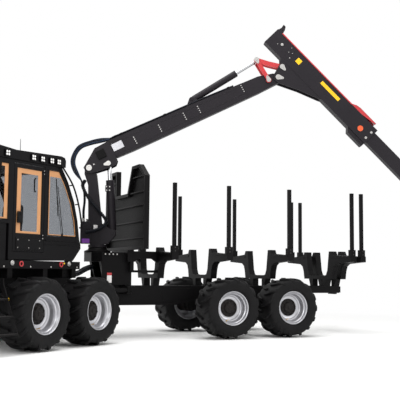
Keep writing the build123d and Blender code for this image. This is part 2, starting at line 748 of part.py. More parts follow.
# Cab: one hollow shell with the cowl under its front window and the fixed leaves of the door's hinges
door_hinge = (door_rear - 4, cab_half_width + 13)
door_hinge_levels = (sill_height - 35.0, door_top - 95.0)
door_knuckle = 96.0
door_hinge_radius = 12.0
door_pin_radius = 5.0
cab_outline = (  # x, z, from the rear foot round the top
    (cab_rear_foot + 140, cab_floor), (cab_rear_foot - 80, cab_floor + 240),
    (cab_rear_foot - 80, cab_floor + 320), (cab_rear_foot - 40, cab_floor + 400),
    (cab_rear_foot + 30, sill_height + 325), (cab_rear_foot + 150, cab_eaves - 640),
    (cab_rear_foot + 340, cab_eaves - 270), (cab_rear_top, cab_eaves),
    (cab_front_top, cab_eaves), (cab_front_foot, cowl_top), (cowl_rear, cowl_top),
    (cowl_rear, cab_floor),
)
window_head = cab_eaves - head_band
with BuildPart() as cab_shell:
    with BuildSketch(Plane.XZ):
        with BuildLine():
            Polyline(*cab_outline, close=True)
        make_face()
    extrude(amount=cab_half_width, both=True)
    with BuildSketch(Plane.XZ):
        with BuildLine():
            Polyline(*cab_outline, close=True)
        make_face()
        offset(amount=-cab_wall, kind=Kind.INTERSECTION, mode=Mode.REPLACE)
    extrude(amount=cab_half_width - cab_wall, both=True, mode=Mode.SUBTRACT)
    with BuildSketch(Plane.XZ.offset(-cab_half_width - 1)):
        with BuildLine():
            Polyline(
                (door_rear - door_gap, door_bottom - door_gap),
                (door_front + door_gap, door_bottom - door_gap),
                (door_front + door_gap, door_top + door_gap), (door_rear - door_gap, door_top + door_gap),
                close=True)
        make_face()
    extrude(amount=cab_wall + 2, mode=Mode.SUBTRACT)
    with BuildSketch(Plane.XZ):
        with BuildLine():
            Polyline(
                (cab_rear_foot + 50, sill_height - 5), (door_rear - 100, sill_height - 5),
                (door_rear - 100, window_head), (cab_rear_top + 60, window_head),
                (cab_rear_foot + 400, cab_eaves - 360), (cab_rear_foot + 220, cab_eaves - 700),
                (cab_rear_foot + 110, sill_height + 325), close=True)
        make_face()
        with BuildLine():
            Polyline(
                (cowl_rear + 20, cowl_top + 60), (cab_front_foot - 75, cowl_top + 60),
                (cab_front_top - 60, window_head), (cowl_rear + 20, window_head), close=True)
        make_face()
    extrude(amount=cab_half_width + 1, both=True, mode=Mode.SUBTRACT)
    with BuildSketch(Plane.XZ.offset(cab_half_width + 1)):
        with BuildLine():
            Polyline(
                (door_rear, sill_height), (door_front, sill_height), (door_front, window_head),
                (door_rear, window_head), close=True)
        make_face()
    extrude(amount=-cab_wall - 2, mode=Mode.SUBTRACT)
    with BuildSketch(Plane.YZ.offset(cab_rear_foot - 100)):
        with Locations((0, (sill_height + 25 + window_head) / 2)):
            Rectangle(2 * cab_half_width - 170, window_head - sill_height - 25)
    extrude(amount=700, mode=Mode.SUBTRACT)
    with BuildSketch(Plane.YZ.offset(cowl_rear + 150)):
        with Locations((0, (cowl_top + 60 + window_head) / 2)):
            Rectangle(2 * cab_half_width - 170, window_head - cowl_top - 60)
    extrude(amount=400, mode=Mode.SUBTRACT)
    for side in (1, -1):
        with BuildSketch(Plane.XY.offset(rail_top)):
            for foot_x in (rail_rear + 260, cowl_rear - 90):
                with Locations((foot_x, side * (cab_half_width - 60))):
                    Rectangle(120, 100)
        extrude(amount=cab_floor - rail_top)
    for level in door_hinge_levels:
        with BuildSketch(Plane.XY.offset(level - door_knuckle / 2)):
            with Locations((door_rear - 48, cab_half_width + 3)):
                Rectangle(56, 8)
        extrude(amount=door_knuckle)
        for bottom in (level - door_knuckle / 2, level + door_knuckle / 6 + 1):
            with BuildSketch(Plane.XY.offset(bottom)):
                with Locations(door_hinge):
                    Circle(door_hinge_radius)
                with Locations((door_rear - 22, cab_half_width + 5)):
                    Rectangle(30, 12)
            extrude(amount=door_knuckle / 3 - 1)
        with BuildSketch(Plane.XY.offset(level - door_knuckle / 2)):
            with Locations(door_hinge):
                Circle(door_pin_radius)
        extrude(amount=door_knuckle)
save(cab_shell, "cab_shell", front_place)

# Cab roof: a thick cap with a raised visor over the windscreen
with BuildPart() as cab_roof:
    with BuildSketch(Plane.XZ):
        with BuildLine():
            Polyline(
                (cab_rear_top - 70, cab_eaves), (cab_front_top + 60, cab_eaves),
                (cab_front_top + 150, roof_top - 60), (cab_front_top + 130, roof_top + 25),
                (door_front, roof_top - 20), (cab_rear_top + 60, roof_top + 20),
                (cab_rear_top - 40, roof_top), (cab_rear_top - 75, roof_top - 60), close=True)
        make_face()
    extrude(amount=cab_half_width + roof_overhang, both=True)
save(cab_roof, "cab_roof", front_place)

# Cowl: the engine's fixed side panels under the windscreen
with BuildPart() as cowl:
    for side in (1, -1):
        with BuildSketch(Plane.XZ.offset(-side * (cab_half_width - 30))):
            with BuildLine():
                Polyline(
                    (cowl_rear + 30, rail_top), (cab_front_foot + 20, rail_top),
                    (cab_front_foot + 20, cowl_top - seat_gap), (cowl_rear + 30, cowl_top - seat_gap),
                    close=True)
            make_face()
        extrude(amount=side * 40)
    with BuildSketch(Plane.XY.offset(cowl_top - 50)):
        with Locations(((cowl_rear + cab_front_foot + 50) / 2, 0)):
            Rectangle(cab_front_foot - cowl_rear - 10, 2 * cab_half_width - 130)
    extrude(amount=50 - seat_gap)
save(cowl, "cowl", front_place)

# Bonnet: the hinged engine cover in front of the windscreen, open below and behind
bonnet_rear = cab_front_foot + 30
bonnet_front = front_end + 20
bonnet_half = cab_half_width - 40
with BuildPart() as bonnet:
    with BuildSketch(Plane.XZ):
        with BuildLine():
            Polyline(
                (bonnet_rear, front_top + 90), (bonnet_front - 30, front_top + 90), (bonnet_front, 1900),
                (bonnet_front - 120, 2120), (bonnet_rear, cowl_top - 20), close=True)
        make_face()
    extrude(amount=bonnet_half, both=True)
    with BuildSketch(Plane.XZ):
        with BuildLine():
            Polyline(
                (bonnet_rear - 10, front_top + 80), (bonnet_front - 75, front_top + 80),
                (bonnet_front - 45, 1885), (bonnet_front - 145, 2075), (bonnet_rear - 10, cowl_top - 65),
                close=True)
        make_face()
    extrude(amount=bonnet_half - 40, both=True, mode=Mode.SUBTRACT)
    for side in (1, -1):
        with BuildSketch(Plane.XZ.offset(side * bonnet_hinge_y)):
            with Locations(bonnet_hinge):
                Circle(bonnet_hinge_radius)
            with BuildLine():
                Polyline(
                    (bonnet_hinge[0] - 5, bonnet_hinge[1] - 20), (bonnet_hinge[0] + 5, bonnet_hinge[1] + 22),
                    (bonnet_front - 60, front_top + 140), (bonnet_front - 60, front_top + 95), close=True)
            make_face()
            with Locations(bonnet_hinge):
                Circle(bonnet_pin_radius + seat_gap, mode=Mode.SUBTRACT)
        extrude(amount=bonnet_knuckle / 2, both=True)
save(bonnet, "bonnet", front_place)

# Door: a frame with a deep window over a lower panel
with BuildPart() as cab_door:
    with BuildSketch(Plane.XZ.offset(-cab_half_width)):
        with BuildLine():
            Polyline(
                (door_rear, door_bottom), (door_front, door_bottom), (door_front, door_top),
                (door_rear, door_top), close=True)
        make_face()
        with BuildLine():
            Polyline(
                (door_rear + door_frame_width, door_glass_bottom),
                (door_front - door_frame_width, door_glass_bottom),
                (door_front - door_frame_width, door_top - door_frame_width),
                (door_rear + door_frame_width, door_top - door_frame_width), close=True)
        make_face(mode=Mode.SUBTRACT)
    extrude(amount=door_thickness)
    for level in door_hinge_levels:
        with BuildSketch(Plane.XY.offset(level - door_knuckle / 6)):
            with Locations(door_hinge):
                Circle(door_hinge_radius)
            with Locations((door_rear + 28, cab_half_width + 5)):
                Rectangle(56, 12)
            with Locations(door_hinge):
                Circle(door_pin_radius + seat_gap, mode=Mode.SUBTRACT)
        extrude(amount=door_knuckle / 3)
save(cab_door, "cab_door", front_place)

# Door glass, seated against the frame's inner side of its opening
with BuildPart() as door_glass:
    with BuildSketch(Plane.XZ.offset(-cab_half_width + 18)):
        with BuildLine():
            Polyline(
                (door_rear + door_frame_width + seat_gap, door_glass_bottom + seat_gap),
                (door_front - door_frame_width - seat_gap, door_glass_bottom + seat_gap),
                (door_front - door_frame_width - seat_gap, door_top - door_frame_width - seat_gap),
                (door_rear + door_frame_width + seat_gap, door_top - door_frame_width - seat_gap), close=True)
        make_face()
    extrude(amount=glass_thickness)
save(door_glass, "door_glass", front_place)

# Cab glass: the fixed side panes
with BuildPart() as cab_glass:
    for side in (1, -1):
        with BuildSketch(Plane.XZ.offset(-side * (cab_half_width - 15))):
            with BuildLine():
                Polyline(
                    (cab_rear_foot + 51, sill_height - 4), (door_rear - 101, sill_height - 4),
                    (door_rear - 101, window_head - 1), (cab_rear_top + 61, window_head - 1),
                    (cab_rear_foot + 401, cab_eaves - 361), (cab_rear_foot + 221, cab_eaves - 700),
                    (cab_rear_foot + 111, sill_height + 325), close=True)
            make_face()
            with BuildLine():
                Polyline(
                    (cowl_rear + 21, cowl_top + 61), (cab_front_foot - 76, cowl_top + 61),
                    (cab_front_top - 61, window_head - 1), (cowl_rear + 21, window_head - 1), close=True)
            make_face()
        extrude(amount=side * glass_thickness)
save(cab_glass, "cab_glass", front_place)

# Seat: cushion, back and a pedestal on the cab's floor
with BuildPart() as cab_seat:
    with BuildSketch(Plane.XY.offset(cab_floor + cab_wall)):
        with Locations((2250, 0)):
            Rectangle(300, 300)
    extrude(amount=330)
    with BuildSketch(Plane.XY.offset(cab_floor + cab_wall + 330)):
        with Locations((2250, 0)):
            RectangleRounded(520, 520, 60)
    extrude(amount=130)
    with BuildSketch(Plane.XZ):
        with BuildLine():
            Polyline(
                (1990, cab_floor + cab_wall + 440), (2110, cab_floor + cab_wall + 440),
                (2040, cab_floor + cab_wall + 1060), (1950, cab_floor + cab_wall + 1060), close=True)
        make_face()
    extrude(amount=240, both=True)
save(cab_seat, "cab_seat", front_place)

# Roof lamps: five along each side of the roof
with BuildPart() as roof_lamps:
    for side in (1, -1):
        with BuildSketch(Plane.XZ.offset(-side * (cab_half_width + roof_overhang))):
            for lamp_x in (1790, 1985, 2240, 2480, 3140):
                with Locations((lamp_x, cab_eaves + 85)):
                    Rectangle(115, 110)
        extrude(amount=-side * 22)
save(roof_lamps, "roof_lamps", front_place)

# Side boxes on the front frame, under the cab, with the bar out to the ladder's hinge
ladder_x = 3590.0
ladder_y = 1130.0
ladder_half = 245.0
ladder_top = 1290.0
ladder_bottom = 320.0
ladder_lean = 430.0
ladder_steps = 3
ladder_pivot_z = 1245.0
ladder_pin_radius = 25.0
with BuildPart() as side_boxes:
    for side in (1, -1):
        with BuildSketch(Plane.XY.offset(front_top)):
            with Locations((3560, side * 610)):
                Rectangle(760, 500)
        extrude(amount=60)
        with BuildSketch(Plane.XY.offset(front_bottom + 60)):
            with Locations((3650, side * 560)):
                Rectangle(560, 2 * (560 - front_half_width))
        extrude(amount=front_top - front_bottom - 60)
    with BuildSketch(Plane.XZ.offset(-750)):
        with Locations((ladder_x, ladder_pivot_z)):
            Rectangle(2 * ladder_half - 90, 80)
    extrude(amount=-(ladder_y - 45 - 750))
    with BuildSketch(Plane.XZ.offset(-(ladder_y - 50))):
        with Locations((ladder_x, ladder_pivot_z)):
            Circle(ladder_pin_radius)
    extrude(amount=-50)
save(side_boxes, "side_boxes", front_place)

# Ladder: two stiles that lean out past the front wheel, with treads between them
with BuildPart() as ladder:
    for side in (1, -1):
        with BuildSketch(Plane.YZ.offset(ladder_x + side * ladder_half)):
            with BuildLine():
                Polyline(
                    (ladder_y - 35, ladder_top), (ladder_y + 35, ladder_top),
                    (ladder_y + 45, ladder_pivot_z - 50),
                    (ladder_y + ladder_lean, ladder_bottom), (ladder_y + ladder_lean - 75, ladder_bottom),
                    (ladder_y - 35, ladder_pivot_z - 60), close=True)
            make_face()
        extrude(amount=-side * 25)
    for step in range(ladder_steps):
        height = ladder_bottom + 20 + step * (ladder_pivot_z - 60 - ladder_bottom) / ladder_steps
        out = (ladder_pivot_z - 55 - height) / (ladder_pivot_z - 55 - ladder_bottom) * (ladder_lean - 40)
        with BuildSketch(Plane.XY.offset(height)):
            with Locations((ladder_x, ladder_y + out)):
                Rectangle(2 * ladder_half - 40, 130)
        extrude(amount=25)
    with BuildSketch(Plane.XZ.offset(-(ladder_y - 35))):
        with Locations((ladder_x, ladder_pivot_z)):
            Rectangle(2 * ladder_half - 40, 80)
            Circle(ladder_pin_radius + seat_gap, mode=Mode.SUBTRACT)
    extrude(amount=-20)
save(ladder, "ladder", front_place)

# Crane column: a tapered box on a round foot, the valves' cover behind it and the lift cylinder's lugs
# in front
valve_cover_half = 150.0
lift_lug_inner = 100.0
lift_lug_plate = 34.0
with BuildPart() as crane_column:
    with BuildSketch(Plane.XY.offset(slew_top)):
        Circle(205)
    extrude(amount=60)
    with BuildSketch(Plane.XZ):
        with BuildLine():
            Polyline(
                (-160, slew_top + 50), (150, slew_top + 50), (85, 2500), (-45, 3560),
                (-120, 3760), (-300, 3760), (-310, 3560), (-225, 3320), (-205, 2500), close=True)
        make_face()
    extrude(amount=column_half_width - 45, both=True)
    with BuildSketch(Plane.XZ):
        with BuildLine():
            Polyline(
                (-370, slew_top + 80), (-150, slew_top + 80), (-150, slew_top + 560), (-330, slew_top + 560),
                (-370, slew_top + 500), close=True)
        make_face()
    extrude(amount=valve_cover_half, both=True)
    for side in (1, -1):
        with BuildSketch(Plane.XZ.offset(side * lift_lug_inner)):
            with BuildLine():
                Polyline(
                    (60, slew_top + 50), (250, slew_top + 100),
                    (lift_base_pin[0] + 75, lift_base_pin[1] - 40),
                    (lift_base_pin[0] + 65, lift_base_pin[1] + 50),
                    (lift_base_pin[0] - 30, lift_base_pin[1] + 75),
                    (60, 2500), close=True)
            make_face()
        extrude(amount=side * lift_lug_plate)
    with BuildSketch(Plane.XZ):
        with Locations(lift_base_pin):
            Circle(lift_foot_pin_radius)
    extrude(amount=lift_lug_inner + lift_lug_plate + pin_cap, both=True)
    with BuildSketch(Plane.XZ):
        with Locations(column_pin):
            Circle(column_pin_radius + seat_gap)
    extrude(amount=column_half_width, both=True, mode=Mode.SUBTRACT)
save(crane_column, "crane_column", crane_place)

# Lift boom: a long tapered box bent at its foot, with cheeks round the column's head
boom_side = side_plane(column_pin, boom_dir)
rocker_at = seen_from(column_pin, boom_dir, rocker_pin)
jib_base_at = seen_from(column_pin, boom_dir, jib_base_pin)
lift_at = seen_from(column_pin, boom_dir, lift_pin)
cheek_end = 640.0
with BuildPart() as lift_boom:
    with BuildSketch(boom_side):
        with BuildLine():
            Polyline(
                (360, 345), (660, 375), (960, 365), (2560, 300), (2960, 286), (4310, 216), (4640, 130),
                (boom_length + 70, 55), (boom_length + 70, -60), (boom_length - 20, -120), (4130, -131),
                (2630, -105), (1060, -72), (660, -50), (600, 20), (360, 20), close=True)
        make_face()
    extrude(amount=85, both=True)
    with BuildSketch(boom_side):
        with BuildLine():
            Polyline(
                (420, 300), (660, 368), (960, 358), (2560, 293), (2960, 279), (3880, 235), (3880, -118),
                (2630, -98), (1060, -65), (660, -40), (600, 25), (420, 25), close=True)
        make_face()
    extrude(amount=boom_half_width, both=True)
    for side in (1, -1):
        with BuildSketch(boom_side.offset(side * 126)):
            with BuildLine():
                Polyline(
                    (300, 340), (cheek_end, 355), (cheek_end, -110), (560, -190), (400, -190), (0, -130),
                    (-105, -70), (-105, 60), (-20, 115), close=True)
            make_face()
        extrude(amount=side * 34)
        with BuildSketch(boom_side.offset(side * 80)):
            with BuildLine():
                Polyline((430, 280), (cheek_end, 345), (cheek_end, -10), (590, 25), (430, 25), close=True)
            make_face()
        extrude(amount=side * 48)
        with BuildSketch(boom_side.offset(side * (lift_eye_half + 1))):
            with Locations(lift_at):
                RegularPolygon(52, 12)
        extrude(amount=side * (160 + pin_cap - lift_eye_half - 1))
        with BuildSketch(boom_side.offset(side * 80)):
            with BuildLine():
                Polyline(
                    (jib_base_at[0] - 190, 290), (jib_base_at[0] - 50, jib_base_at[1] + 40),
                    (jib_base_at[0], jib_base_at[1] + 62), (jib_base_at[0] + 50, jib_base_at[1] + 40),
                    (jib_base_at[0] + 150, 270), close=True)
            make_face()
        extrude(amount=side * 26)
    boom_pins = (((0, 0), column_pin_radius, 160 + pin_cap), (jib_base_at, jib_foot_pin_radius, 118))
    for pin, radius, half in boom_pins:
        with BuildSketch(boom_side):
            with Locations(pin):
                Circle(radius)
        extrude(amount=half, both=True)
    with BuildSketch(boom_side):
        with Locations((boom_length, 0)):
            Circle(jib_pin_radius + seat_gap)
    extrude(amount=boom_half_width, both=True, mode=Mode.SUBTRACT)
    for side in (1, -1):
        with BuildSketch(boom_side.offset(side * 80)):
            with Locations(rocker_at):
                Circle(rocker_pin_radius)
        extrude(amount=side * (118 + pin_cap - 80))
save(lift_boom, "lift_boom", crane_place)

# Jib: a square tube with a deep bracket, open at its lower end for the extension
jib_side = side_plane(jib_pin, jib_dir)
link_at = seen_from(jib_pin, jib_dir, link_pin)
jib_top_line = jib_underside + jib_height
guide_length = 150.0
with BuildPart() as jib:
    with BuildSketch(jib_side):
        with BuildLine():
            Polyline(
                (-jib_tail, jib_underside), (jib_reach, jib_underside), (jib_reach, jib_top_line),
                (-jib_tail, jib_top_line), close=True)
        make_face()
    extrude(amount=jib_half_width, both=True)
    with BuildSketch(jib_side):
        with BuildLine():
            Polyline(
                (-jib_tail + jib_wall, jib_underside + jib_wall), (jib_reach + 5, jib_underside + jib_wall),
                (jib_reach + 5, jib_top_line - jib_wall), (-jib_tail + jib_wall, jib_top_line - jib_wall),
                close=True)
        make_face()
    extrude(amount=jib_half_width - jib_wall, both=True, mode=Mode.SUBTRACT)
    with BuildSketch(Plane(
            origin=(jib_pin[0] + jib_dir[0] * jib_reach, 0, jib_pin[1] + jib_dir[1] * jib_reach),
            x_dir=(0, -1, 0), z_dir=(-jib_dir[0], 0, -jib_dir[1]))):
        with Locations((0, jib_underside + jib_height / 2)):
            Rectangle(2 * (jib_half_width - jib_wall) + 2, jib_height - 2 * jib_wall + 2)
        with Locations((0, extension_line)):
            Rectangle(
                2 * (extension_half_width + seat_gap), extension_height + 2 * seat_gap, mode=Mode.SUBTRACT)
    extrude(amount=guide_length)
    for side in (1, -1):
        with BuildSketch(jib_side.offset(side * 92)):
            with BuildLine():
                Polyline(
                    (-280, jib_underside + 3), (link_at[0] - 90, link_at[1] + 30), (-150, 120),
                    (-100, -40), (-30, -105),
                    (90, -95), (530, 130), (980, jib_underside - 37), (1060, jib_underside + 3), close=True)
            make_face()
        extrude(amount=side * 26)
    for pin, radius in (((0, 0), jib_pin_radius), (link_at, link_pin_radius)):
        with BuildSketch(jib_side):
            with Locations(pin):
                Circle(radius)
        extrude(amount=118, both=True)
save(jib, "jib", crane_place)

# Extension: the sliding inner boom, which ends in a lug for the tip pin
extension_inner = jib_reach - extension_held
extension_end = jib_reach + extension_out - 165.0
with BuildPart() as extension:
    with BuildSketch(jib_side):
        with Locations(((extension_inner + extension_end) / 2, extension_line)):
            Rectangle(extension_end - extension_inner, extension_height)
    extrude(amount=extension_half_width, both=True)
    with BuildSketch(jib_side):
        with Locations((jib_reach + extension_out, extension_line - 60)):
            RegularPolygon(85, 12)
        with BuildLine():
            Polyline(
                (extension_end - 10, extension_line - 145), (jib_reach + extension_out, extension_line - 145),
                (jib_reach + extension_out + 40, extension_line + 15),
                (extension_end - 10, extension_line + 120),
                close=True)
        make_face()
        with Locations((jib_reach + extension_out, extension_line - 60)):
            Circle(tip_pin_radius + seat_gap, mode=Mode.SUBTRACT)
    extrude(amount=48, both=True)
save(extension, "extension", crane_place)

# Tip link: the cross-pinned link that the rotator hangs from
with BuildPart() as tip_link:
    for side in (1, -1):
        with BuildSketch(Plane.XZ.offset(side * 54)):
            with BuildLine():
                Polyline(
                    (tip_pin[0] - 50, tip_pin[1] - 140), (tip_pin[0] - 50, tip_pin[1] + 30),
                    (tip_pin[0], tip_pin[1] + 55), (tip_pin[0] + 50, tip_pin[1] + 30),
                    (tip_pin[0] + 50, tip_pin[1] - 140), close=True)
            make_face()
        extrude(amount=side * 26)
    with BuildSketch(Plane.XY.offset(tip_pin[1] - 160)):
        with Locations((tip_pin[0], 0)):
            Rectangle(100, 160)
    extrude(amount=30)
    with BuildSketch(Plane.XY.offset(grapple_head_z - 50)):
        with Locations((tip_pin[0], 0)):
            Rectangle(44, 100)
    extrude(amount=tip_link_drop + 50 - 150)
    with BuildSketch(Plane.YZ.offset(tip_pin[0])):
        with Locations((0, grapple_head_z)):
            Circle(cross_pin_radius + seat_gap)
    extrude(amount=30, both=True, mode=Mode.SUBTRACT)
    with BuildSketch(Plane.XZ):
        with Locations(tip_pin):
            Circle(tip_pin_radius)
    extrude(amount=80 + pin_cap, both=True)
save(tip_link, "tip_link", crane_place)

# Rotator: a finned motor housing under its own pair of ears
with BuildPart() as rotator:
    for side in (1, -1):
        with BuildSketch(Plane.YZ.offset(tip_pin[0] + side * 28)):
            with BuildLine():
                Polyline(
                    (-55, grapple_head_z - 120), (-55, grapple_head_z + 20), (0, grapple_head_z + 50),
                    (55, grapple_head_z + 20), (55, grapple_head_z - 120), close=True)
            make_face()
        extrude(amount=side * 26)
    with BuildSketch(Plane.YZ.offset(tip_pin[0])):
        with Locations((0, grapple_head_z)):
            Circle(cross_pin_radius)
    extrude(amount=54, both=True)
    with BuildSketch(Plane.XY.offset(rotator_bottom + 40 + seat_gap)):
        with Locations((tip_pin[0], 0)):
            Circle(115)
    extrude(amount=grapple_head_z - 100 - rotator_bottom - 40)
save(rotator, "rotator", crane_place)

# Grapple head: the flange under the rotator and the box that carries the claws' pins
with BuildPart() as grapple_head:
    with BuildSketch(Plane.XY.offset(rotator_bottom)):
        with Locations((tip_pin[0], 0)):
            Circle(135)
    extrude(amount=40)
    with BuildSketch(Plane.XZ):
        with BuildLine():
            Polyline(
                (tip_pin[0] - 110, rotator_bottom), (tip_pin[0] + 110, rotator_bottom),
                (tip_pin[0] + claw_pin_half + 55, claw_pin_z + 20),
                (tip_pin[0] + claw_pin_half + 40, claw_pin_z - 45),
                (tip_pin[0] - claw_pin_half - 40, claw_pin_z - 45),
                (tip_pin[0] - claw_pin_half - 55, claw_pin_z + 20),
                close=True)
        make_face()
    extrude(amount=70, both=True)
    for side in (1, -1):
        with BuildSketch(Plane.XZ):
            with Locations((tip_pin[0] + side * claw_pin_half, claw_pin_z)):
                Circle(claw_pin_radius)
        extrude(amount=200, both=True)
save(grapple_head, "grapple_head", crane_place)


def claw(side, layers):
    """One claw of the grapple: curved blades side by side and a plate across their tips."""
    pin_x = tip_pin[0] + side * claw_pin_half
    with BuildPart() as jaw:
        for layer in layers:
            with BuildSketch(Plane.XZ.offset(layer)):
                with BuildLine():
                    Polyline(
                        (pin_x - side * 55, claw_pin_z - 10), (pin_x, claw_pin_z + 60),
                        (pin_x + side * 70, claw_pin_z + 40),
                        (pin_x + side * 260, claw_pin_z - 230), (pin_x + side * 290, claw_pin_z - 480),
                        (pin_x + side * 190, claw_pin_z - 700), (pin_x - side * 60, claw_pin_z - 850),
                        (pin_x - side * 85, claw_pin_z - 830), (pin_x + side * 110, claw_pin_z - 660),
                        (pin_x + side * 190, claw_pin_z - 470), (pin_x + side * 160, claw_pin_z - 260),
                        (pin_x + side * 20, claw_pin_z - 60), close=True)
                make_face()
                with Locations((pin_x, claw_pin_z)):
                    RegularPolygon(62, 12)
                    Circle(claw_pin_radius + seat_gap, mode=Mode.SUBTRACT)
            extrude(amount=34)
        with BuildSketch(Plane.XZ.offset(layers[0])):
            with BuildLine():
                Polyline(
                    (pin_x + side * 255, claw_pin_z - 330), (pin_x + side * 288, claw_pin_z - 480),
                    (pin_x + side * 262, claw_pin_z - 535), (pin_x + side * 232, claw_pin_z - 330),
                    close=True)
            make_face()
        extrude(amount=layers[-1] - layers[0] + 34)
    return jaw


save(claw(1, (-187.0, 77.0)), "claw_outer", crane_place)
save(claw(-1, (-151.0, 113.0)), "claw_inner", crane_place)


def cylinder_pair(name, base, eye, place, level, barrel_radius, rod_radius, closed, eye_half, foot_half,
                  foot_pin):
    """A hydraulic cylinder between two pins of one plane: its barrel and its rod."""
    length = math.dist(base, eye)
    direction = ((eye[0] - base[0]) / length, (eye[1] - base[1]) / length)
    if level is None:
        side = side_plane(base, direction)
        back = Plane(origin=(base[0], 0, base[1]), x_dir=(0, 1, 0), z_dir=(direction[0], 0, direction[1]))
    else:
        side = Plane(origin=(base[0], base[1], level), x_dir=(direction[0], direction[1], 0), z_dir=(0, 0, 1))
        back = Plane(origin=(base[0], base[1], level), x_dir=(0, 0, 1), z_dir=(direction[0], direction[1], 0))
    barrel_length = closed - barrel_radius - 30
    with BuildPart() as barrel:
        with BuildSketch(side):
            RegularPolygon(barrel_radius * 0.85, 12)
        extrude(amount=foot_half, both=True)
        with BuildSketch(back.offset(barrel_radius * 0.7)):
            Circle(barrel_radius)
        extrude(amount=barrel_length - barrel_radius * 0.7)
        with BuildSketch(back.offset(barrel_radius + 20)):
            Circle(rod_radius + seat_gap)
        extrude(amount=barrel_length, mode=Mode.SUBTRACT)
        with BuildSketch(side):
            Circle(foot_pin + seat_gap)
        extrude(amount=foot_half + 1, both=True, mode=Mode.SUBTRACT)
    rod_start = barrel_radius + 50 + length - closed
    with BuildPart() as rod:
        with BuildSketch(back.offset(rod_start)):
            Circle(rod_radius)
        extrude(amount=length - rod_start - rod_radius)
        with BuildSketch(side):
            with Locations((length, 0)):
                RegularPolygon(rod_radius * 1.5, 16)
        extrude(amount=eye_half, both=True)
    save(barrel, f"{name}_barrel", place)
    save(rod, f"{name}_rod", place)


cylinder_pair("lift", lift_base_pin, lift_pin, crane_place, None, 92.0, 48.0, lift_closed, lift_eye_half,
              lift_lug_inner - running_gap, lift_foot_pin_radius)
cylinder_pair("jib", jib_base_pin, rod_pin, crane_place, None, 76.0, 43.0, jib_closed, 54.0, 74.0,
              jib_foot_pin_radius)
turn = math.radians(steer_rest)
for steer_side, steer_name in ((1, "steer_left"), (-1, "steer_right")):
    foot = (steer_foot[0], steer_side * steer_foot[1])
    eye = (joint_x + math.cos(turn) * steer_eye[0] - math.sin(turn) * steer_side * steer_eye[1],
           math.sin(turn) * steer_eye[0] + math.cos(turn) * steer_side * steer_eye[1])
    cylinder_pair(steer_name, foot, eye, rear_place, steer_level, 50.0, 30.0, steer_closed, steer_eye_half,
                  steer_foot_half, steer_pin_radius)

# Rocker: two red bars beside the boom's head that hold the jib cylinder's rod eye
with BuildPart() as rocker:
    for side in (1, -1):
        with BuildSketch(Plane.XZ.offset(side * 92)):
            with Locations(rocker_pin, rod_pin):
                RegularPolygon(62, 12)
            with BuildLine():
                Polyline(
                    (rocker_pin[0] - 42, rocker_pin[1] - 10), (rocker_pin[0] + 42, rocker_pin[1] + 20),
                    (rod_pin[0] + 42, rod_pin[1] + 10), (rod_pin[0] - 42, rod_pin[1] - 20), close=True)
            make_face()
        extrude(amount=side * 26)
        with BuildSketch(Plane.XZ.offset(side * 118)):
            with Locations(rod_pin):
                RegularPolygon(34, 12)
        extrude(amount=side * pin_cap)
        with BuildSketch(Plane.XZ.offset(side * 80)):
            with Locations(rocker_pin):
                Circle(rocker_pin_radius + seat_gap)
        extrude(amount=side * 60, mode=Mode.SUBTRACT)
save(rocker, "rocker", crane_place)

# Coupler: the red link from the rod's eye to the jib's bracket
with BuildPart() as coupler:
    for side in (1, -1):
        with BuildSketch(Plane.XZ.offset(side * 56)):
            with Locations(link_pin, rod_pin):
                RegularPolygon(62, 12)
            with BuildLine():
                Polyline(
                    (rod_pin[0] - 5, rod_pin[1] - 55), (3760, 6090), (link_pin[0] - 15, link_pin[1] - 55),
                    (link_pin[0] + 10, link_pin[1] + 55), (3780, 6195), (rod_pin[0] + 10, rod_pin[1] + 55),
                    close=True)
            make_face()
        extrude(amount=side * 28)
        with BuildSketch(Plane.XZ.offset(side * 50)):
            with Locations(link_pin):
                Circle(link_pin_radius + seat_gap)
        extrude(amount=side * 60, mode=Mode.SUBTRACT)
save(coupler, "coupler", crane_place)
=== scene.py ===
# %% [markdown]
# # A forestry forwarder, dressed around its CAD frame
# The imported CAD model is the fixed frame. Everything here is added in metres in that same frame:
# the finish of each part, and the detail that a workshop drawing leaves out.
# %% Load the frame
import json
import math
import bpy
import bmesh
from mathutils import Matrix, Vector


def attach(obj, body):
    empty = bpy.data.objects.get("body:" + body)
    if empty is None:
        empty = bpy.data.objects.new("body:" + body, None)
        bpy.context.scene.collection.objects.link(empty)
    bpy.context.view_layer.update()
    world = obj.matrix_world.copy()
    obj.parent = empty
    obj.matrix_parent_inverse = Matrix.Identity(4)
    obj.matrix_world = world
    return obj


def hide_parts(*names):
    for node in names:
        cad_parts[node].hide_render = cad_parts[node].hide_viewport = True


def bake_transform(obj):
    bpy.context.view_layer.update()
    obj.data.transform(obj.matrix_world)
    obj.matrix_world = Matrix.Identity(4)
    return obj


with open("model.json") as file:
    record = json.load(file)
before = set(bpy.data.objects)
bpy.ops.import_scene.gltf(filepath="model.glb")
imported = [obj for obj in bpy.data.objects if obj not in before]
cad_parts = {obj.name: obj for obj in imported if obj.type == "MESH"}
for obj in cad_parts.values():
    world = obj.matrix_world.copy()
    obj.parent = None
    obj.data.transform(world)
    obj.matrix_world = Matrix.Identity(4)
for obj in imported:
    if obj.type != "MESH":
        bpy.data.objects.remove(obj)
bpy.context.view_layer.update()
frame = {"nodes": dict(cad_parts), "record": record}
nodes = frame["nodes"]

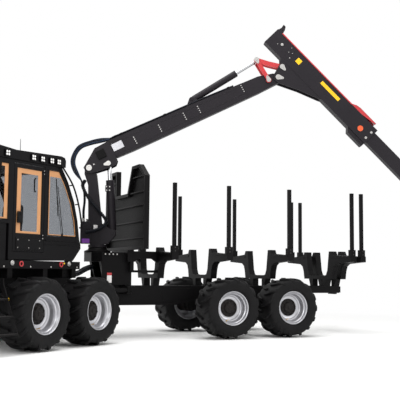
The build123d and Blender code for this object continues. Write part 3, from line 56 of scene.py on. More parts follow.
# %% [markdown]
# ## Where things are
# The machine is drawn with the ground at z = 0 and x = 0 over the rear bogies, and its tow pin is
# the frame's origin. The front frame is turned at the steering joint and the crane at its slewing
# ring, so each has its own matrix, and a piece can be drawn straight and then turned to its place.
# %% Matrices of the three parts of the machine
GROUND = -1.01
REAR = Matrix.Translation((2.86, 0, GROUND))
FRONT = REAR @ Matrix.Translation((3.76, 0, 0)) @ Matrix.Rotation(math.radians(33.7), 4, "Z")
CRANE = REAR @ Matrix.Translation((3.35, 0, 0)) @ Matrix.Rotation(math.radians(180 - 22), 4, "Z")

# %% [markdown]
# ## Camera
# A long lens from the machine's left, low, as in the photograph: the fit of the wheels, the stakes
# and the crane's pins gives its place, its turn and its focal length.
# %% Make the camera
CAMERA_PLACE = Vector((11.3579, 16.4170, 0.4111))
CAMERA_YAW, CAMERA_PITCH, CAMERA_ROLL = -2.005513, 0.093415, 0.009288
FOCAL_PIXELS, FRAME_PIXELS = 774.61, 400


def link_object(name, data):
    """Put a new object into the scene."""
    made = bpy.data.objects.new(name, data)
    bpy.context.scene.collection.objects.link(made)
    return made


look = Vector((math.cos(CAMERA_YAW) * math.cos(CAMERA_PITCH),
               math.sin(CAMERA_YAW) * math.cos(CAMERA_PITCH), math.sin(CAMERA_PITCH)))
level_right = look.cross(Vector((0, 0, 1))).normalized()
level_up = level_right.cross(look)
right = math.cos(CAMERA_ROLL) * level_right + math.sin(CAMERA_ROLL) * level_up
up = math.cos(CAMERA_ROLL) * level_up - math.sin(CAMERA_ROLL) * level_right
lens = bpy.data.cameras.new("studio_camera")
lens.sensor_width = 36.0
lens.lens = FOCAL_PIXELS * lens.sensor_width / FRAME_PIXELS
lens.clip_end = 200
camera = link_object("studio_camera", lens)
camera.matrix_world = Matrix((
    (right.x, up.x, -look.x, CAMERA_PLACE.x),
    (right.y, up.y, -look.y, CAMERA_PLACE.y),
    (right.z, up.z, -look.z, CAMERA_PLACE.z),
    (0, 0, 0, 1)))
bpy.context.scene.camera = camera
print("camera lens", round(lens.lens, 2), "mm")

# %% [markdown]
# ## Helpers for finishes
# A colour is written as the hex value that a paint chart shows, and one function turns it into the
# linear numbers that the renderer works in. A second function adds one node with its settings and
# its links, so that each material reads as a list of what feeds what.
# %% Colour and node helpers
def linear(hex_value):
    """An sRGB hex colour as linear RGBA."""
    parts = [int(hex_value[i:i + 2], 16) / 255 for i in (1, 3, 5)]
    return [c / 12.92 if c <= 0.04045 else ((c + 0.055) / 1.055) ** 2.4 for c in parts] + [1.0]


def add_node(tree, kind, settings=None, links=None):
    """Add a node, set its properties and inputs, and link other nodes' outputs into it."""
    node = tree.nodes.new("ShaderNode" + kind)
    for key, value in (settings or {}).items():
        if isinstance(key, int) or key in node.inputs:
            node.inputs[key].default_value = value
        else:
            setattr(node, key, value)
    for key, source in (links or {}).items():
        tree.links.new(source, node.inputs[key])
    return node


def new_material(name):
    """An empty node material, its tree, and the node that gives places on the object."""
    material = bpy.data.materials.new(name)
    material.use_nodes = True
    tree = material.node_tree
    tree.nodes.clear()
    return material, tree, add_node(tree, "TexCoord")


def noise(tree, place, size, detail, roughness=0.5):
    """A cloudy value; the clouds have one size in metres."""
    return add_node(tree, "TexNoise", {"Scale": 1 / size, "Detail": detail, "Roughness": roughness},
                    {"Vector": place.outputs["Object"]}).outputs["Fac"]


def remap(tree, value, from_low=0.0, from_high=1.0, to_low=0.0, to_high=1.0):
    """A value taken from one range to another, and held at its ends."""
    return add_node(tree, "MapRange",
                    {"From Min": from_low, "From Max": from_high, "To Min": to_low, "To Max": to_high},
                    {"Value": value}).outputs["Result"]


def combine(tree, operation, first, second):
    """Two values joined by one step of arithmetic."""
    return add_node(tree, "Math", {"operation": operation}, {0: first, 1: second}).outputs["Value"]


def mix_colours(tree, factor, first, second):
    """Two colours mixed, each a list of numbers or the output of another node."""
    settings, links = {"data_type": "RGBA"}, {0: factor}
    for socket, colour in ((6, first), (7, second)):
        (settings if isinstance(colour, list) else links)[socket] = colour
    return add_node(tree, "Mix", settings, links).outputs[2]


def bumps(tree, height, strength, distance, **links):
    """A normal that follows a height."""
    return add_node(tree, "Bump", {"Strength": strength, "Distance": distance},
                    {"Height": height, **links}).outputs["Normal"]


def show_surface(tree, settings, links):
    """The surface itself, and the output that shows it."""
    surface = add_node(tree, "BsdfPrincipled", settings, links)
    add_node(tree, "OutputMaterial", {}, {"Surface": surface.outputs[0]})


# %% [markdown]
# ## Sprayed two-pack paint on steel
# Plate and castings are primed and sprayed with two-pack polyurethane. It dries to a satin skin with
# a faint orange peel, thins over sharp edges, where the grey primer and handling marks show, and
# holds a little dust on faces that look up. The edges of plate are ground to about 3 mm, which the
# Bevel node gives to the light without changing the mesh.
# %% Paint recipe
def sprayed_paint(name, base, worn, roughness, edge=0.004, dust=0.10, dust_hex="#6E665D", coat=0.0, gloss=0.5,
                  flake=0.0):
    """Sprayed polyurethane over primed steel, IOR 1.5, with soft edges, wear and dust."""
    material, tree, place = new_material(name)
    clouds = noise(tree, place, 0.4, 5.0, 0.6)  # the uneven film of a hand-held spray gun
    scuffs = noise(tree, place, 0.025, 4.0, 0.7)
    peel = noise(tree, place, 0.008, 2.0)  # about 2 mm in truth, larger so that it shows
    soft = add_node(tree, "Bevel", {"samples": 4, "Radius": edge})
    shape = add_node(tree, "NewGeometry")
    same = add_node(tree, "VectorMath", {"operation": "DOT_PRODUCT"},
                    {0: soft.outputs["Normal"], 1: shape.outputs["Normal"]})
    bend = remap(tree, same.outputs["Value"], 0.995, 0.86)
    wear = combine(tree, "MULTIPLY", bend, remap(tree, scuffs, 0.42, 0.66))
    shade = linear(base)
    pale = [min(1.0, c * 1.3 + 0.001) for c in shade[:3]] + [1.0]
    film = mix_colours(tree, wear, mix_colours(tree, clouds, shade, pale), linear(worn))
    facing = add_node(tree, "SeparateXYZ", {}, {"Vector": place.outputs["Normal"]})
    settled = combine(tree, "MULTIPLY", remap(tree, facing.outputs["Z"], 0.35, 1.0, to_high=dust), clouds)
    show_surface(tree, {"IOR": 1.5, "Specular IOR Level": gloss, "Coat Weight": coat, "Coat Roughness": 0.12,
                        "Metallic": flake},
                 {"Base Color": mix_colours(tree, settled, film, linear(dust_hex)),
                  "Roughness": remap(tree, scuffs, to_low=roughness - 0.05, to_high=roughness + 0.12),
                  "Normal": bumps(tree, peel, 0.05, 0.001, Normal=soft.outputs["Normal"])})
    return material


# the blacks have a fine matt skin, which scatters half of the mirror light, so their gloss is low
machine_paint = sprayed_paint("polyurethane_paint_charcoal", "#0A090A", "#2A2625", 0.42, dust=0.03,
                              gloss=0.10)
cab_paint = sprayed_paint("polyurethane_paint_black", "#070608", "#1C1A1B", 0.30, dust=0.02, gloss=0.12)
crane_paint = sprayed_paint("polyurethane_paint_graphite", "#1F1C20", "#454243", 0.44, dust=0.02, gloss=0.18)
red_paint = sprayed_paint("polyurethane_paint_red", "#B3262B", "#7E3A36", 0.36, dust=0.03, coat=0.3)
yellow_paint = sprayed_paint("polyurethane_paint_yellow", "#E6B512", "#A8862A", 0.40, edge=0.001, dust=0.02)
white_paint = sprayed_paint("polyurethane_paint_white", "#E4E0DE", "#A9A5A2", 0.38, edge=0.001, dust=0.03)
cast_paint = sprayed_paint("paint_on_cast_iron", "#0B0A0A", "#2C2725", 0.62, edge=0.006, dust=0.05, gloss=0.1)
orange_paint = sprayed_paint("polyurethane_paint_orange", "#D9582B", "#9A4A30", 0.40, edge=0.001, dust=0.02)
purple_paint = sprayed_paint("polyurethane_paint_violet", "#7A3D9C", "#5A3A78", 0.40, edge=0.001, dust=0.02)
print("paints", len(bpy.data.materials))

# %% [markdown]
# ## Silver wheel lacquer
# The rims are rolled steel in a pale silver lacquer. The flakes are too small to see here, so the
# lacquer is a pale base under a clear coat, with brown dust where the barrel turns in.
# %% Wheel lacquer
rim_paint = sprayed_paint("silver_wheel_lacquer", "#B4B4B8", "#77706A", 0.30, edge=0.003, dust=0.10,
                          dust_hex="#8A7E72", coat=0.3, flake=0.75)
hub_paint = sprayed_paint("paint_on_hub_iron", "#1B1817", "#4A3F38", 0.55, edge=0.004, dust=0.12, gloss=0.2)


# %% [markdown]
# ## Bare metals
# Rods are ground and hard-chromed, so they mirror the studio with almost no blur. Bolts and pin
# plates are zinc-plated, which is softer and a little blue. A metal keeps the default IOR, because
# its reflection comes from its colour.
# %% Metals
def plated_metal(name, tint, roughness, grain_mm, spread):
    """A metal surface with fine machining grain."""
    material, tree, place = new_material(name)
    grain = noise(tree, place, grain_mm / 1000, 3.0)
    dull = [c * 0.82 for c in linear(tint)[:3]] + [1.0]
    show_surface(tree, {"Metallic": 1.0},
                 {"Base Color": mix_colours(tree, grain, linear(tint), dull),
                  "Roughness": remap(tree, grain, to_low=roughness, to_high=roughness + spread),
                  "Normal": bumps(tree, grain, 0.06, 0.0005)})
    return material


# chrome grinding lines are finer than 0.1 mm; 6 mm here
chrome = plated_metal("hard_chrome_on_ground_steel", "#D6D7D9", 0.10, 6, 0.08)
# zinc spangle, 5 mm
zinc = plated_metal("zinc_plated_steel", "#C9C7C4", 0.34, 5, 0.14)
brass = plated_metal("turned_brass", "#C9A15A", 0.30, 4, 0.1)
dark_steel = plated_metal("phosphated_steel", "#4A4848", 0.48, 12, 0.2)
print("metals made")

# %% [markdown]
# ## Tyre rubber
# Natural rubber filled with carbon black, moulded. It is never pure black: a grey bloom and fine dust
# lie over it in loose clouds.
# %% Rubber
def moulded_rubber(name, base, bloom, roughness, dust):
    """Carbon-filled rubber with bloom and dry dust."""
    material, tree, place = new_material(name)
    clouds = noise(tree, place, 0.18, 6.0, 0.65)
    grain = noise(tree, place, 0.006, 3.0)  # about 1.5 mm in truth
    cover = remap(tree, clouds, 0.35, 0.75, to_high=dust)
    show_surface(tree, {"IOR": 1.52, "Specular IOR Level": 0.14},
                 {"Base Color": mix_colours(tree, cover, linear(base), linear(bloom)),
                  "Roughness": remap(tree, clouds, to_low=roughness - 0.08, to_high=roughness + 0.1),
                  "Normal": bumps(tree, grain, 0.25, 0.002)})
    return material


tyre_rubber = moulded_rubber("natural_rubber_carbon_black", "#0B0B0C", "#1E1C1D", 0.58, 0.5)
hose_rubber = moulded_rubber("nitrile_hose_rubber", "#0C0D12", "#20242E", 0.42, 0.5)
seal_rubber = moulded_rubber("epdm_seal_rubber", "#0A0A0B", "#1C1A1B", 0.6, 0.4)
blue_hose = moulded_rubber("polyurethane_air_line_blue", "#101E33", "#223854", 0.35, 0.5)

# %% [markdown]
# ## Polycarbonate windows
# Forestry cabs have coated polycarbonate sheet, 12 to 15 mm thick, with a faint grey tint. The cut
# edges are masked and show as a tan band round each pane.
# %% Windows and their edge bands
def clear_sheet(name, tint):
    """Hard-coated polycarbonate sheet. Its index is set well under the real 1.58, because several
    panes stand behind one another here, and their many faint reflections only give grain."""
    material, tree, place = new_material(name)
    film = noise(tree, place, 0.3, 4.0)
    show_surface(tree, {"Base Color": linear(tint), "IOR": 1.12, "Transmission Weight": 1.0},
                 {"Roughness": remap(tree, film, 0.4, 0.8, to_high=0.004)})
    return material


window = clear_sheet("hard_coated_polycarbonate", "#B9BBBE")
edge_band = sprayed_paint("masking_band_tan", "#C08A5C", "#8E6745", 0.55, edge=0.001, dust=0.0)
lamp_white = sprayed_paint("lamp_reflector_white", "#F2EFEA", "#BDB9B4", 0.25, edge=0.002, dust=0.0, coat=0.5)

# %% [markdown]
# ## Seat fabric
# A woven polyester, its threads about 1.2 mm apart. That is finer than a pixel here, so the weave is
# drawn at 10 mm, enough to break up the light on the cushion.
# %% Fabric
def woven_fabric(name, dark, light, thread_mm):
    """A plain weave from two crossed waves, with the sheen of fibres."""
    material, tree, place = new_material(name)
    warp, weft = [add_node(tree, "TexWave",
                           {"Scale": 1000 / thread_mm / 6.283, "bands_direction": way},
                           {"Vector": place.outputs["Object"]}).outputs["Fac"] for way in ("Z", "DIAGONAL")]
    weave = combine(tree, "MAXIMUM", warp, weft)
    show_surface(tree, {"Roughness": 0.85, "Sheen Weight": 0.35},
                 {"Base Color": mix_colours(tree, weave, linear(dark), linear(light)),
                  "Normal": bumps(tree, weave, 0.4, 0.002)})
    return material


seat_cloth = woven_fabric("woven_polyester_seat_cover", "#1A181B", "#3A363C", 10)
print("materials", len(bpy.data.materials))

# %% [markdown]
# ## Finish the CAD nodes
# Each CAD node keeps its mesh and gets the finish of its material slot in the record.
# %% Assign finishes by slot
finish_of = {
    "tyre_rubber": tyre_rubber, "rim_paint": rim_paint, "machine_paint": machine_paint,
    "cab_paint": cab_paint, "crane_paint": crane_paint, "red_paint": red_paint,
    "dark_steel": cast_paint, "rod_chrome": chrome, "glass": window, "seat_fabric": seat_cloth,
    "lamp": lamp_white,
}
slot_of = {row["node"]: row["material_slot"] for row in frame["record"]["subparts"]}
for name, node in nodes.items():
    node.data.materials.clear()
    node.data.materials.append(finish_of[slot_of[name]])
for name in ("rear_bogie", "front_bogie", "joint_casting"):
    nodes[name].data.materials[0] = cast_paint
print("finished", len(nodes), "CAD nodes")

# %% [markdown]
# ## Floor, backdrop and light
# A plain pale studio: a floor that takes the soft shadow and fades to white, a white surround that
# the camera, reflections and windows see, and large soft lamps above and to the front left.
# %% Stage
def make_floor():
    """A pale floor that fades to white away from the machine."""
    material, tree, place = new_material("studio_floor_vinyl")
    far = add_node(tree, "VectorMath", {"operation": "LENGTH"}, {0: place.outputs["Object"]})
    fade = add_node(tree, "MapRange",
                    {"From Min": 6.0, "From Max": 14.0, "interpolation_type": "SMOOTHSTEP"},
                    {"Value": far.outputs["Value"]})
    pale = mix_colours(tree, noise(tree, place, 0.5, 2.0), linear("#FDFDFC"), linear("#FFFFFE"))
    matt = add_node(tree, "BsdfDiffuse", {}, {"Color": pale})
    white = add_node(tree, "Emission", {"Color": (1, 1, 1, 1), "Strength": 1.0})
    mix = add_node(tree, "MixShader", {}, {0: fade.outputs["Result"], 1: matt.outputs[0],
                                                     2: white.outputs[0]})
    add_node(tree, "OutputMaterial", {}, {"Surface": mix.outputs[0]})
    mesh = bpy.data.meshes.new("studio_floor")
    mesh.from_pydata([(-60, -60, 0), (60, -60, 0), (60, 60, 0), (-60, 60, 0)], [], [(0, 1, 2, 3)])
    floor = link_object("studio_floor", mesh)
    floor.location = (4.5, 0.5, GROUND - 0.001)
    mesh.materials.append(material)


make_floor()

world = bpy.data.worlds.new("studio_world")
bpy.context.scene.world = world
world.use_nodes = True
sky = world.node_tree
sky.nodes.clear()
paths = add_node(sky, "LightPath")
seen = combine(sky, "MAXIMUM", paths.outputs["Is Camera Ray"], paths.outputs["Is Transmission Ray"])
seen_or_gloss = combine(sky, "MAXIMUM", seen, paths.outputs["Is Glossy Ray"])
fill = add_node(sky, "Background", {"Color": linear("#FFFFFF"), "Strength": 0.75})
white = add_node(sky, "Background", {"Color": (1, 1, 1, 1), "Strength": 1.0})
mixed = add_node(sky, "MixShader", {}, {0: seen_or_gloss, 1: fill.outputs[0],
                                                  2: white.outputs[0]})
add_node(sky, "OutputWorld", {}, {"Surface": mixed.outputs[0]})


def soft_lamp(name, place, aim, size, watts):
    """A large square lamp that points at a spot."""
    light = bpy.data.lights.new(name, "AREA")
    light.shape = "SQUARE"
    light.size = size
    light.energy = watts
    lamp = link_object(name, light)
    lamp.location = place
    lamp.rotation_euler = (Vector(aim) - Vector(place)).to_track_quat("-Z", "Y").to_euler()


soft_lamp("overhead_softbox", (5.0, 2.0, 11.0), (5.0, 0.5, 0.0), 9.0, 900)
soft_lamp("front_left_softbox", (15.0, 10.0, 6.0), (6.0, 1.0, 1.0), 6.0, 420)
soft_lamp("rear_left_softbox", (-5.0, 12.0, 5.0), (3.0, 0.5, 0.5), 6.0, 260)
bpy.context.scene.view_settings.view_transform = "Standard"
print("studio ready")


# %% [markdown]
# ## Helpers for shapes
# Small solids are drawn in bmesh: plates cut to an outline, turned parts spun from a profile, and
# round bars between two points. Each is drawn straight in its part's own axes and then taken to its
# place by that part's matrix, so its mesh is in the shared frame as the CAD's is.
# %% Shape helpers
SIDES = (1, -1)  # left, then right
AXES = {
    "side": lambda a, b, c: (a, c, b),     # outline in x, z; thickness along y
    "front": lambda a, b, c: (c, a, b),    # outline in y, z; thickness along x
    "top": lambda a, b, c: (a, b, c),      # outline in x, y; thickness along z
}


def add_plate(bm, outline, view, low, high):
    """A flat plate: its outline in one view, from low to high across it."""
    turn = AXES[view]
    under = [bm.verts.new(turn(a, b, low)) for a, b in outline]
    over = [bm.verts.new(turn(a, b, high)) for a, b in outline]
    count = len(outline)
    bm.faces.new(under)
    bm.faces.new(over[::-1])
    for i in range(count):
        j = (i + 1) % count
        bm.faces.new((under[j], under[i], over[i], over[j]))


def rectangle(left, bottom, right, top):
    """The corners of a rectangle, in order."""
    return [(left, bottom), (right, bottom), (right, top), (left, top)]


def add_block(bm, low, high):
    """A straight block between two corners."""
    add_plate(bm, rectangle(low[0], low[1], high[0], high[1]), "top", low[2], high[2])


def add_side_blocks(bm, low, high):
    """A block on the left, given by its corners, and its mirror image on the right."""
    for side in SIDES:
        near, far = sorted((side * low[1], side * high[1]))
        add_block(bm, (low[0], near, low[2]), (high[0], far, high[2]))


def basis(direction):
    """Two unit vectors square to a direction."""
    direction = Vector(direction).normalized()
    other = Vector((0, 0, 1)) if abs(direction.z) < 0.9 else Vector((1, 0, 0))
    side = direction.cross(other).normalized()
    return side, direction.cross(side).normalized()


def add_circle(bm, middle, side, over, radius, sides):
    """A circle of vertices in the plane of two unit vectors."""
    return [bm.verts.new(middle + side * (radius * math.cos(math.tau * k / sides)) +
                         over * (radius * math.sin(math.tau * k / sides))) for k in range(sides)]


def bridge(bm, rings):
    """Faces from each ring to the next; a ring of one vertex closes an end."""
    for first, second in zip(rings, rings[1:]):
        sides = max(len(first), len(second))
        for k in range(sides):
            j = (k + 1) % sides
            if len(first) > 1 and len(second) > 1:
                bm.faces.new((first[j], first[k], second[k], second[j]))
            elif len(second) > 1:
                bm.faces.new((first[0], second[k], second[j]))
            elif len(first) > 1:
                bm.faces.new((first[j], first[k], second[0]))


def add_turned(bm, origin, direction, profile, sides=24):
    """A turned part: (distance, radius) pairs spun about an axis. Radius 0 closes an end."""
    origin, direction = Vector(origin), Vector(direction).normalized()
    side, over = basis(direction)
    rings = []
    for distance, radius in profile:
        middle = origin + direction * distance
        rings.append([bm.verts.new(middle)] if radius <= 0 else
                     add_circle(bm, middle, side, over, radius, sides))
    bridge(bm, rings)


def add_bar(bm, start, end, radius, sides=12):
    """A round bar between two points."""
    start, end = Vector(start), Vector(end)
    length = (end - start).length
    add_turned(bm, start, end - start, ((0, 0), (0, radius), (length, radius), (length, 0)), sides)


def add_bolt(bm, place, direction, across, head=None):
    """A hexagon bolt head on its washer."""
    head = head or across * 0.55
    add_turned(bm, place, direction, ((0, 0), (0, across * 0.95), (across * 0.16, across * 0.95),
                                      (across * 0.16, 0)), 16)
    add_turned(bm, place, direction, ((across * 0.16, 0), (across * 0.16, across * 0.58),
                                      (head * 0.85, across * 0.58), (head, across * 0.48), (head, 0)), 6)


print("shape helpers ready")

# %% [markdown]
# ## From a drawing to a piece
# Every loose piece goes the same way: draw it, turn its faces outward, take it to its place, finish it
# and put it on the body that carries it. That way is written once, as a decorator. The line over a
# drawing function then says the body and the finish, and the function's name is the piece's name.
# %% Piece helper
def add_bolt_grid(bm, xs, y, zs, side, across):
    """Bolts at every x and z of a face that looks to one side."""
    for x in xs:
        for z in zs:
            add_bolt(bm, (x, y, z), (0, side, 0), across)


def to_mesh(bm, name, finish, matrix=Matrix.Identity(4)):
    """Turn a drawing's faces outward, take it to its place and give it its finish."""
    bmesh.ops.recalc_face_normals(bm, faces=bm.faces)
    bm.transform(matrix)
    mesh = bpy.data.meshes.new(name)
    bm.to_mesh(mesh)
    bm.free()
    mesh.materials.append(finish)
    return mesh


MATRIX_OF = {"front_frame": FRONT, "cab_door": FRONT, "bonnet": FRONT, "ladder": FRONT, "rear_frame": REAR}
EDGE_ANGLE = math.radians(35)  # sharper edges than this are rounded


def piece(body, finish, bevel=0.0, smooth=False, matrix=None, name=None):
    """Make a piece from the drawing function that follows, under that function's name.

    It rides the body, if it has one; the body also says which matrix takes it to its place."""
    def make(draw):
        bm = bmesh.new()
        draw(bm)
        own_name = name or draw.__name__
        mesh = to_mesh(bm, own_name, finish, matrix or MATRIX_OF.get(body, CRANE))
        made = link_object(own_name, mesh)
        if bevel:
            rounding = made.modifiers.new("edges", "BEVEL")
            rounding.width, rounding.segments = bevel, 2
            rounding.limit_method, rounding.angle_limit = "ANGLE", EDGE_ANGLE
        if smooth:
            mesh.shade_smooth()
        if body:
            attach(made, body)
        return made
    return make


# %% [markdown]
# ## Tyres
# The lugs of a forestry tyre are bars of rubber that start near the middle of the tread and sweep
# back over the shoulder. Each is a strip of sections set along a curved path on the casing, so it
# bends with the tyre, and the casing itself is one turned skin with a rim guard and a bead.
# %% Tyre mesh
TYRE_RADIUS, LUGS = 0.660, 15
# across a lug: parts of its width and of its height
LUG_SECTION = ((-0.68, 0), (-0.5, 0.78), (-0.36, 1), (0.36, 1), (0.5, 0.78), (0.68, 0))


def draw_tyre(bm):
    """Casing and lugs about the y axis."""
    half = [(0.300, 0.3455), (0.3005, 0.369), (0.318, 0.372), (0.328, 0.385), (0.334, 0.405), (0.343, 0.409),
            (0.346, 0.420), (0.351, 0.450), (0.355, 0.500), (0.353, 0.535), (0.347, 0.565), (0.333, 0.589),
            (0.310, 0.601), (0.270, 0.608), (0.180, 0.6125), (0.090, 0.6145), (0.0, 0.615)]
    profile = [(-y, r) for y, r in half] + [(y, r) for y, r in reversed(half[:-1])]
    add_turned(bm, (0, 0, 0), (0, 1, 0), profile + [profile[0]], 90)
    path = [(0.012, 0.0), (0.06, 0.004), (0.12, 0.016), (0.18, 0.036), (0.23, 0.060), (0.27, 0.083),
            (0.305, 0.106), (0.333, 0.128), (0.350, 0.148), (0.3565, 0.168)]
    tops = [0.660, 0.660, 0.660, 0.659, 0.657, 0.652, 0.632, 0.617, 0.602, 0.570]
    widths = [0.056, 0.058, 0.060, 0.062, 0.066, 0.070, 0.074, 0.078, 0.080, 0.078]
    middle = path[-1][1] / 2
    for half_sign, shift in ((1, 0.0), (-1, math.pi / LUGS)):
        for index in range(LUGS):
            turn = math.tau * index / LUGS + shift
            rings = []
            for (y, back), top, width in zip(path, tops, widths):
                low = 0.598 if y < 0.31 else top - 0.062
                ring = []
                for along, height in LUG_SECTION:
                    radius = low + (top - low) * height
                    angle = turn + (middle - back + along * width) / TYRE_RADIUS
                    out = y - (0.010 if height == 0 and y > 0.33 else 0.0)
                    ring.append(bm.verts.new((radius * math.sin(angle), half_sign * out,
                                              radius * math.cos(angle))))
                rings.append(ring)
            for first, second in zip(rings, rings[1:]):
                for a in range(5):
                    bm.faces.new((first[a], first[a + 1], second[a + 1], second[a]))
            bm.faces.new(rings[0][::-1])
            bm.faces.new(rings[-1])


def shared_mesh(name, draw, finish, smooth_angle=math.radians(38)):
    """A mesh that several pieces share, smooth except at its sharp edges."""
    bm = bmesh.new()
    draw(bm)
    bmesh.ops.recalc_face_normals(bm, faces=bm.faces)
    for edge in bm.edges:
        edge.smooth = len(edge.link_faces) < 2 or edge.calc_face_angle(0) < smooth_angle
    for face in bm.faces:
        face.smooth = True
    return to_mesh(bm, name, finish)


tyre_mesh = shared_mesh("tyre_mesh", draw_tyre, tyre_rubber)
print("tyre faces", len(tyre_mesh.polygons))

# %% [markdown]
# ## Rims
# A rolled rim with its flange, a stepped barrel and a deep-set disc. The hub is a dark casting with
# a ring of studs, and a brass valve stands on the barrel.
# %% Rim, hub and valve meshes
FLANGE_OUTER = 0.3153
DISC_FACE, HUB_INNER = FLANGE_OUTER - 0.235, -0.3847


def draw_rim(bm):
    """The rim's skin about the y axis, its outside towards +y."""
    outside = ((-0.012, 0.3445), (-0.012, 0.366), (-0.004, 0.3665), (0, 0.361), (-0.003, 0.352),
               (-0.020, 0.340), (-0.055, 0.334), (-0.068, 0.326), (-0.078, 0.312), (-0.090, 0.309),
               (-0.100, 0.303), (-0.150, 0.296), (-0.196, 0.293), (-0.206, 0.284), (-0.212, 0.268))
    disc = ((0.010, 0.262), (0, 0.250), (-0.002, 0.21), (0, 0.150), (-0.030, 0.150), (-0.034, 0.255))
    inside = ((0.100, 0.268), (0.055, 0.330), (0.003, 0.350), (0, 0.361), (0.004, 0.3665), (0.012, 0.366),
              (0.012, 0.3445))
    stretches = ((FLANGE_OUTER, outside), (DISC_FACE, disc), (-FLANGE_OUTER, inside))
    profile = [(start + y, r) for start, rows in stretches for y, r in rows]
    add_turned(bm, (0, 0, 0), (0, 1, 0), profile + [profile[0]], 72)


def draw_hub(bm):
    """The hub casting and its cover."""
    cover = ((-0.034, 0.165), (-0.034, 0.148), (-0.001, 0.148), (-0.001, 0.194), (0.014, 0.194),
             (0.018, 0.188), (0.020, 0.128), (0.058, 0.112), (0.066, 0.100), (0.070, 0.045), (0.082, 0.040),
             (0.085, 0.0))
    add_turned(bm, (0, 0, 0), (0, 1, 0), [(HUB_INNER, 0), (HUB_INNER, 0.165)] +
               [(DISC_FACE + y, r) for y, r in cover], 48)


def draw_studs(bm):
    """Ten wheel nuts and a smaller ring of cover bolts."""
    for k in range(10):
        angle = math.tau * k / 10
        place = (0.160 * math.sin(angle), DISC_FACE + 0.019, 0.160 * math.cos(angle))
        add_bolt(bm, place, (0, 1, 0), 0.024, 0.026)
    for k in range(8):
        angle = math.tau * (k + 0.5) / 8
        place = (0.080 * math.sin(angle), DISC_FACE + 0.067, 0.080 * math.cos(angle))
        add_bolt(bm, place, (0, 1, 0), 0.013)


def draw_valve(bm):
    """A bent valve stem with its cap."""
    foot = Vector((0.0, FLANGE_OUTER - 0.130, 0.300))
    inward = Vector((0, 0.25, -1))
    add_turned(bm, foot, inward,
               ((0, 0), (0, 0.016), (0.012, 0.016), (0.014, 0.010), (0.030, 0.009), (0.032, 0)), 12)
    add_turned(bm, foot + inward.normalized() * 0.026, (0, 1, -0.15),
               ((0, 0), (0, 0.007), (0.045, 0.007), (0.045, 0.010), (0.066, 0.010), (0.068, 0)), 12)


rim_mesh = shared_mesh("rim_mesh", draw_rim, rim_paint)
hub_mesh = shared_mesh("hub_mesh", draw_hub, hub_paint)
stud_mesh = shared_mesh("stud_mesh", draw_studs, hub_paint)
valve_mesh = shared_mesh("valve_mesh", draw_valve, brass)

# %% [markdown]
# ## Eight wheels
# The lugs of every tyre point the same way, so that their middles meet the ground first when the
# machine drives forward. The rims are turned about, so that each dish faces outward.
# %% Place the wheels
BOGIE, TRACK, AXLE = 0.75, 1.19, 0.66
wheels = []
for frame_name, matrix, middle in (("front", FRONT, 1.875), ("rear", REAR, 0.0)):
    for side_name, side in (("left", 1), ("right", -1)):
        for number, offset in ((1, BOGIE), (2, -BOGIE)):
            wheels.append((f"{frame_name}_{side_name}_{number}", matrix, middle + offset, side))
for count, (name, matrix, along, side) in enumerate(wheels):
    at = matrix @ Matrix.Translation((along, side * TRACK, AXLE))
    facing = Matrix.Identity(4) if side == 1 else Matrix.Rotation(math.pi, 4, "Z")
    rolled = Matrix.Rotation(math.radians(11 * count), 4, "Y")
    for kind, mesh, turn, cad, slot in (
            ("tyre_tread", tyre_mesh, Matrix.Identity(4), f"tyre_{name}", "tyre_rubber"),
            ("wheel_rim", rim_mesh, facing, f"rim_{name}", "rim_paint"),
            ("wheel_hub", hub_mesh, facing, None, "dark_steel"),
            ("wheel_studs", stud_mesh, facing, None, "dark_steel"),
            ("tyre_valve", valve_mesh, facing, None, "rod_chrome")):
        own_mesh = mesh.copy()
        own_mesh.transform(at @ turn @ (rolled if kind != "tyre_valve" else Matrix.Rotation(2.75, 4, "Y")))
        part = link_object(f"{kind}_{name}", own_mesh)
        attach(part, f"wheel_{name}")
        if cad:
            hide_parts(cad)
print("wheels", len(wheels))

# %% [markdown]
# ## Helpers for hoses, strips and rings
# Hoses follow a smooth curve through a few chosen points, and keep their round section along it. A
# window's masking band is the ring between its outline and the same outline moved inward.
# %% Path and outline helpers
def smooth_path(points, steps=6):
    """Points along a smooth curve that passes through the given ones."""
    points = [Vector(p) for p in points]
    ends = [points[0] * 2 - points[1]] + points + [points[-1] * 2 - points[-2]]
    curve = []
    for a, b, c, d in zip(ends, ends[1:], ends[2:], ends[3:]):
        for k in range(steps):
            t = k / steps
            curve.append(0.5 * (2 * b + (c - a) * t + (2 * a - 5 * b + 4 * c - d) * t * t +
                                (3 * b - a - 3 * c + d) * t ** 3))
    return curve + [points[-1]]


def add_hose(bm, points, radius, sides=8, steps=6):
    """A round hose along a smooth curve."""
    path = smooth_path(points, steps)
    side = basis(path[1] - path[0])[0]
    rings = []
    for k, point in enumerate(path):
        heading = (path[min(k + 1, len(path) - 1)] - path[max(k - 1, 0)]).normalized()
        side = (side - heading * side.dot(heading)).normalized()
        rings.append(add_circle(bm, point, side, heading.cross(side), radius, sides))
    bridge(bm, rings)
    bm.faces.new(rings[0])
    bm.faces.new(rings[-1][::-1])


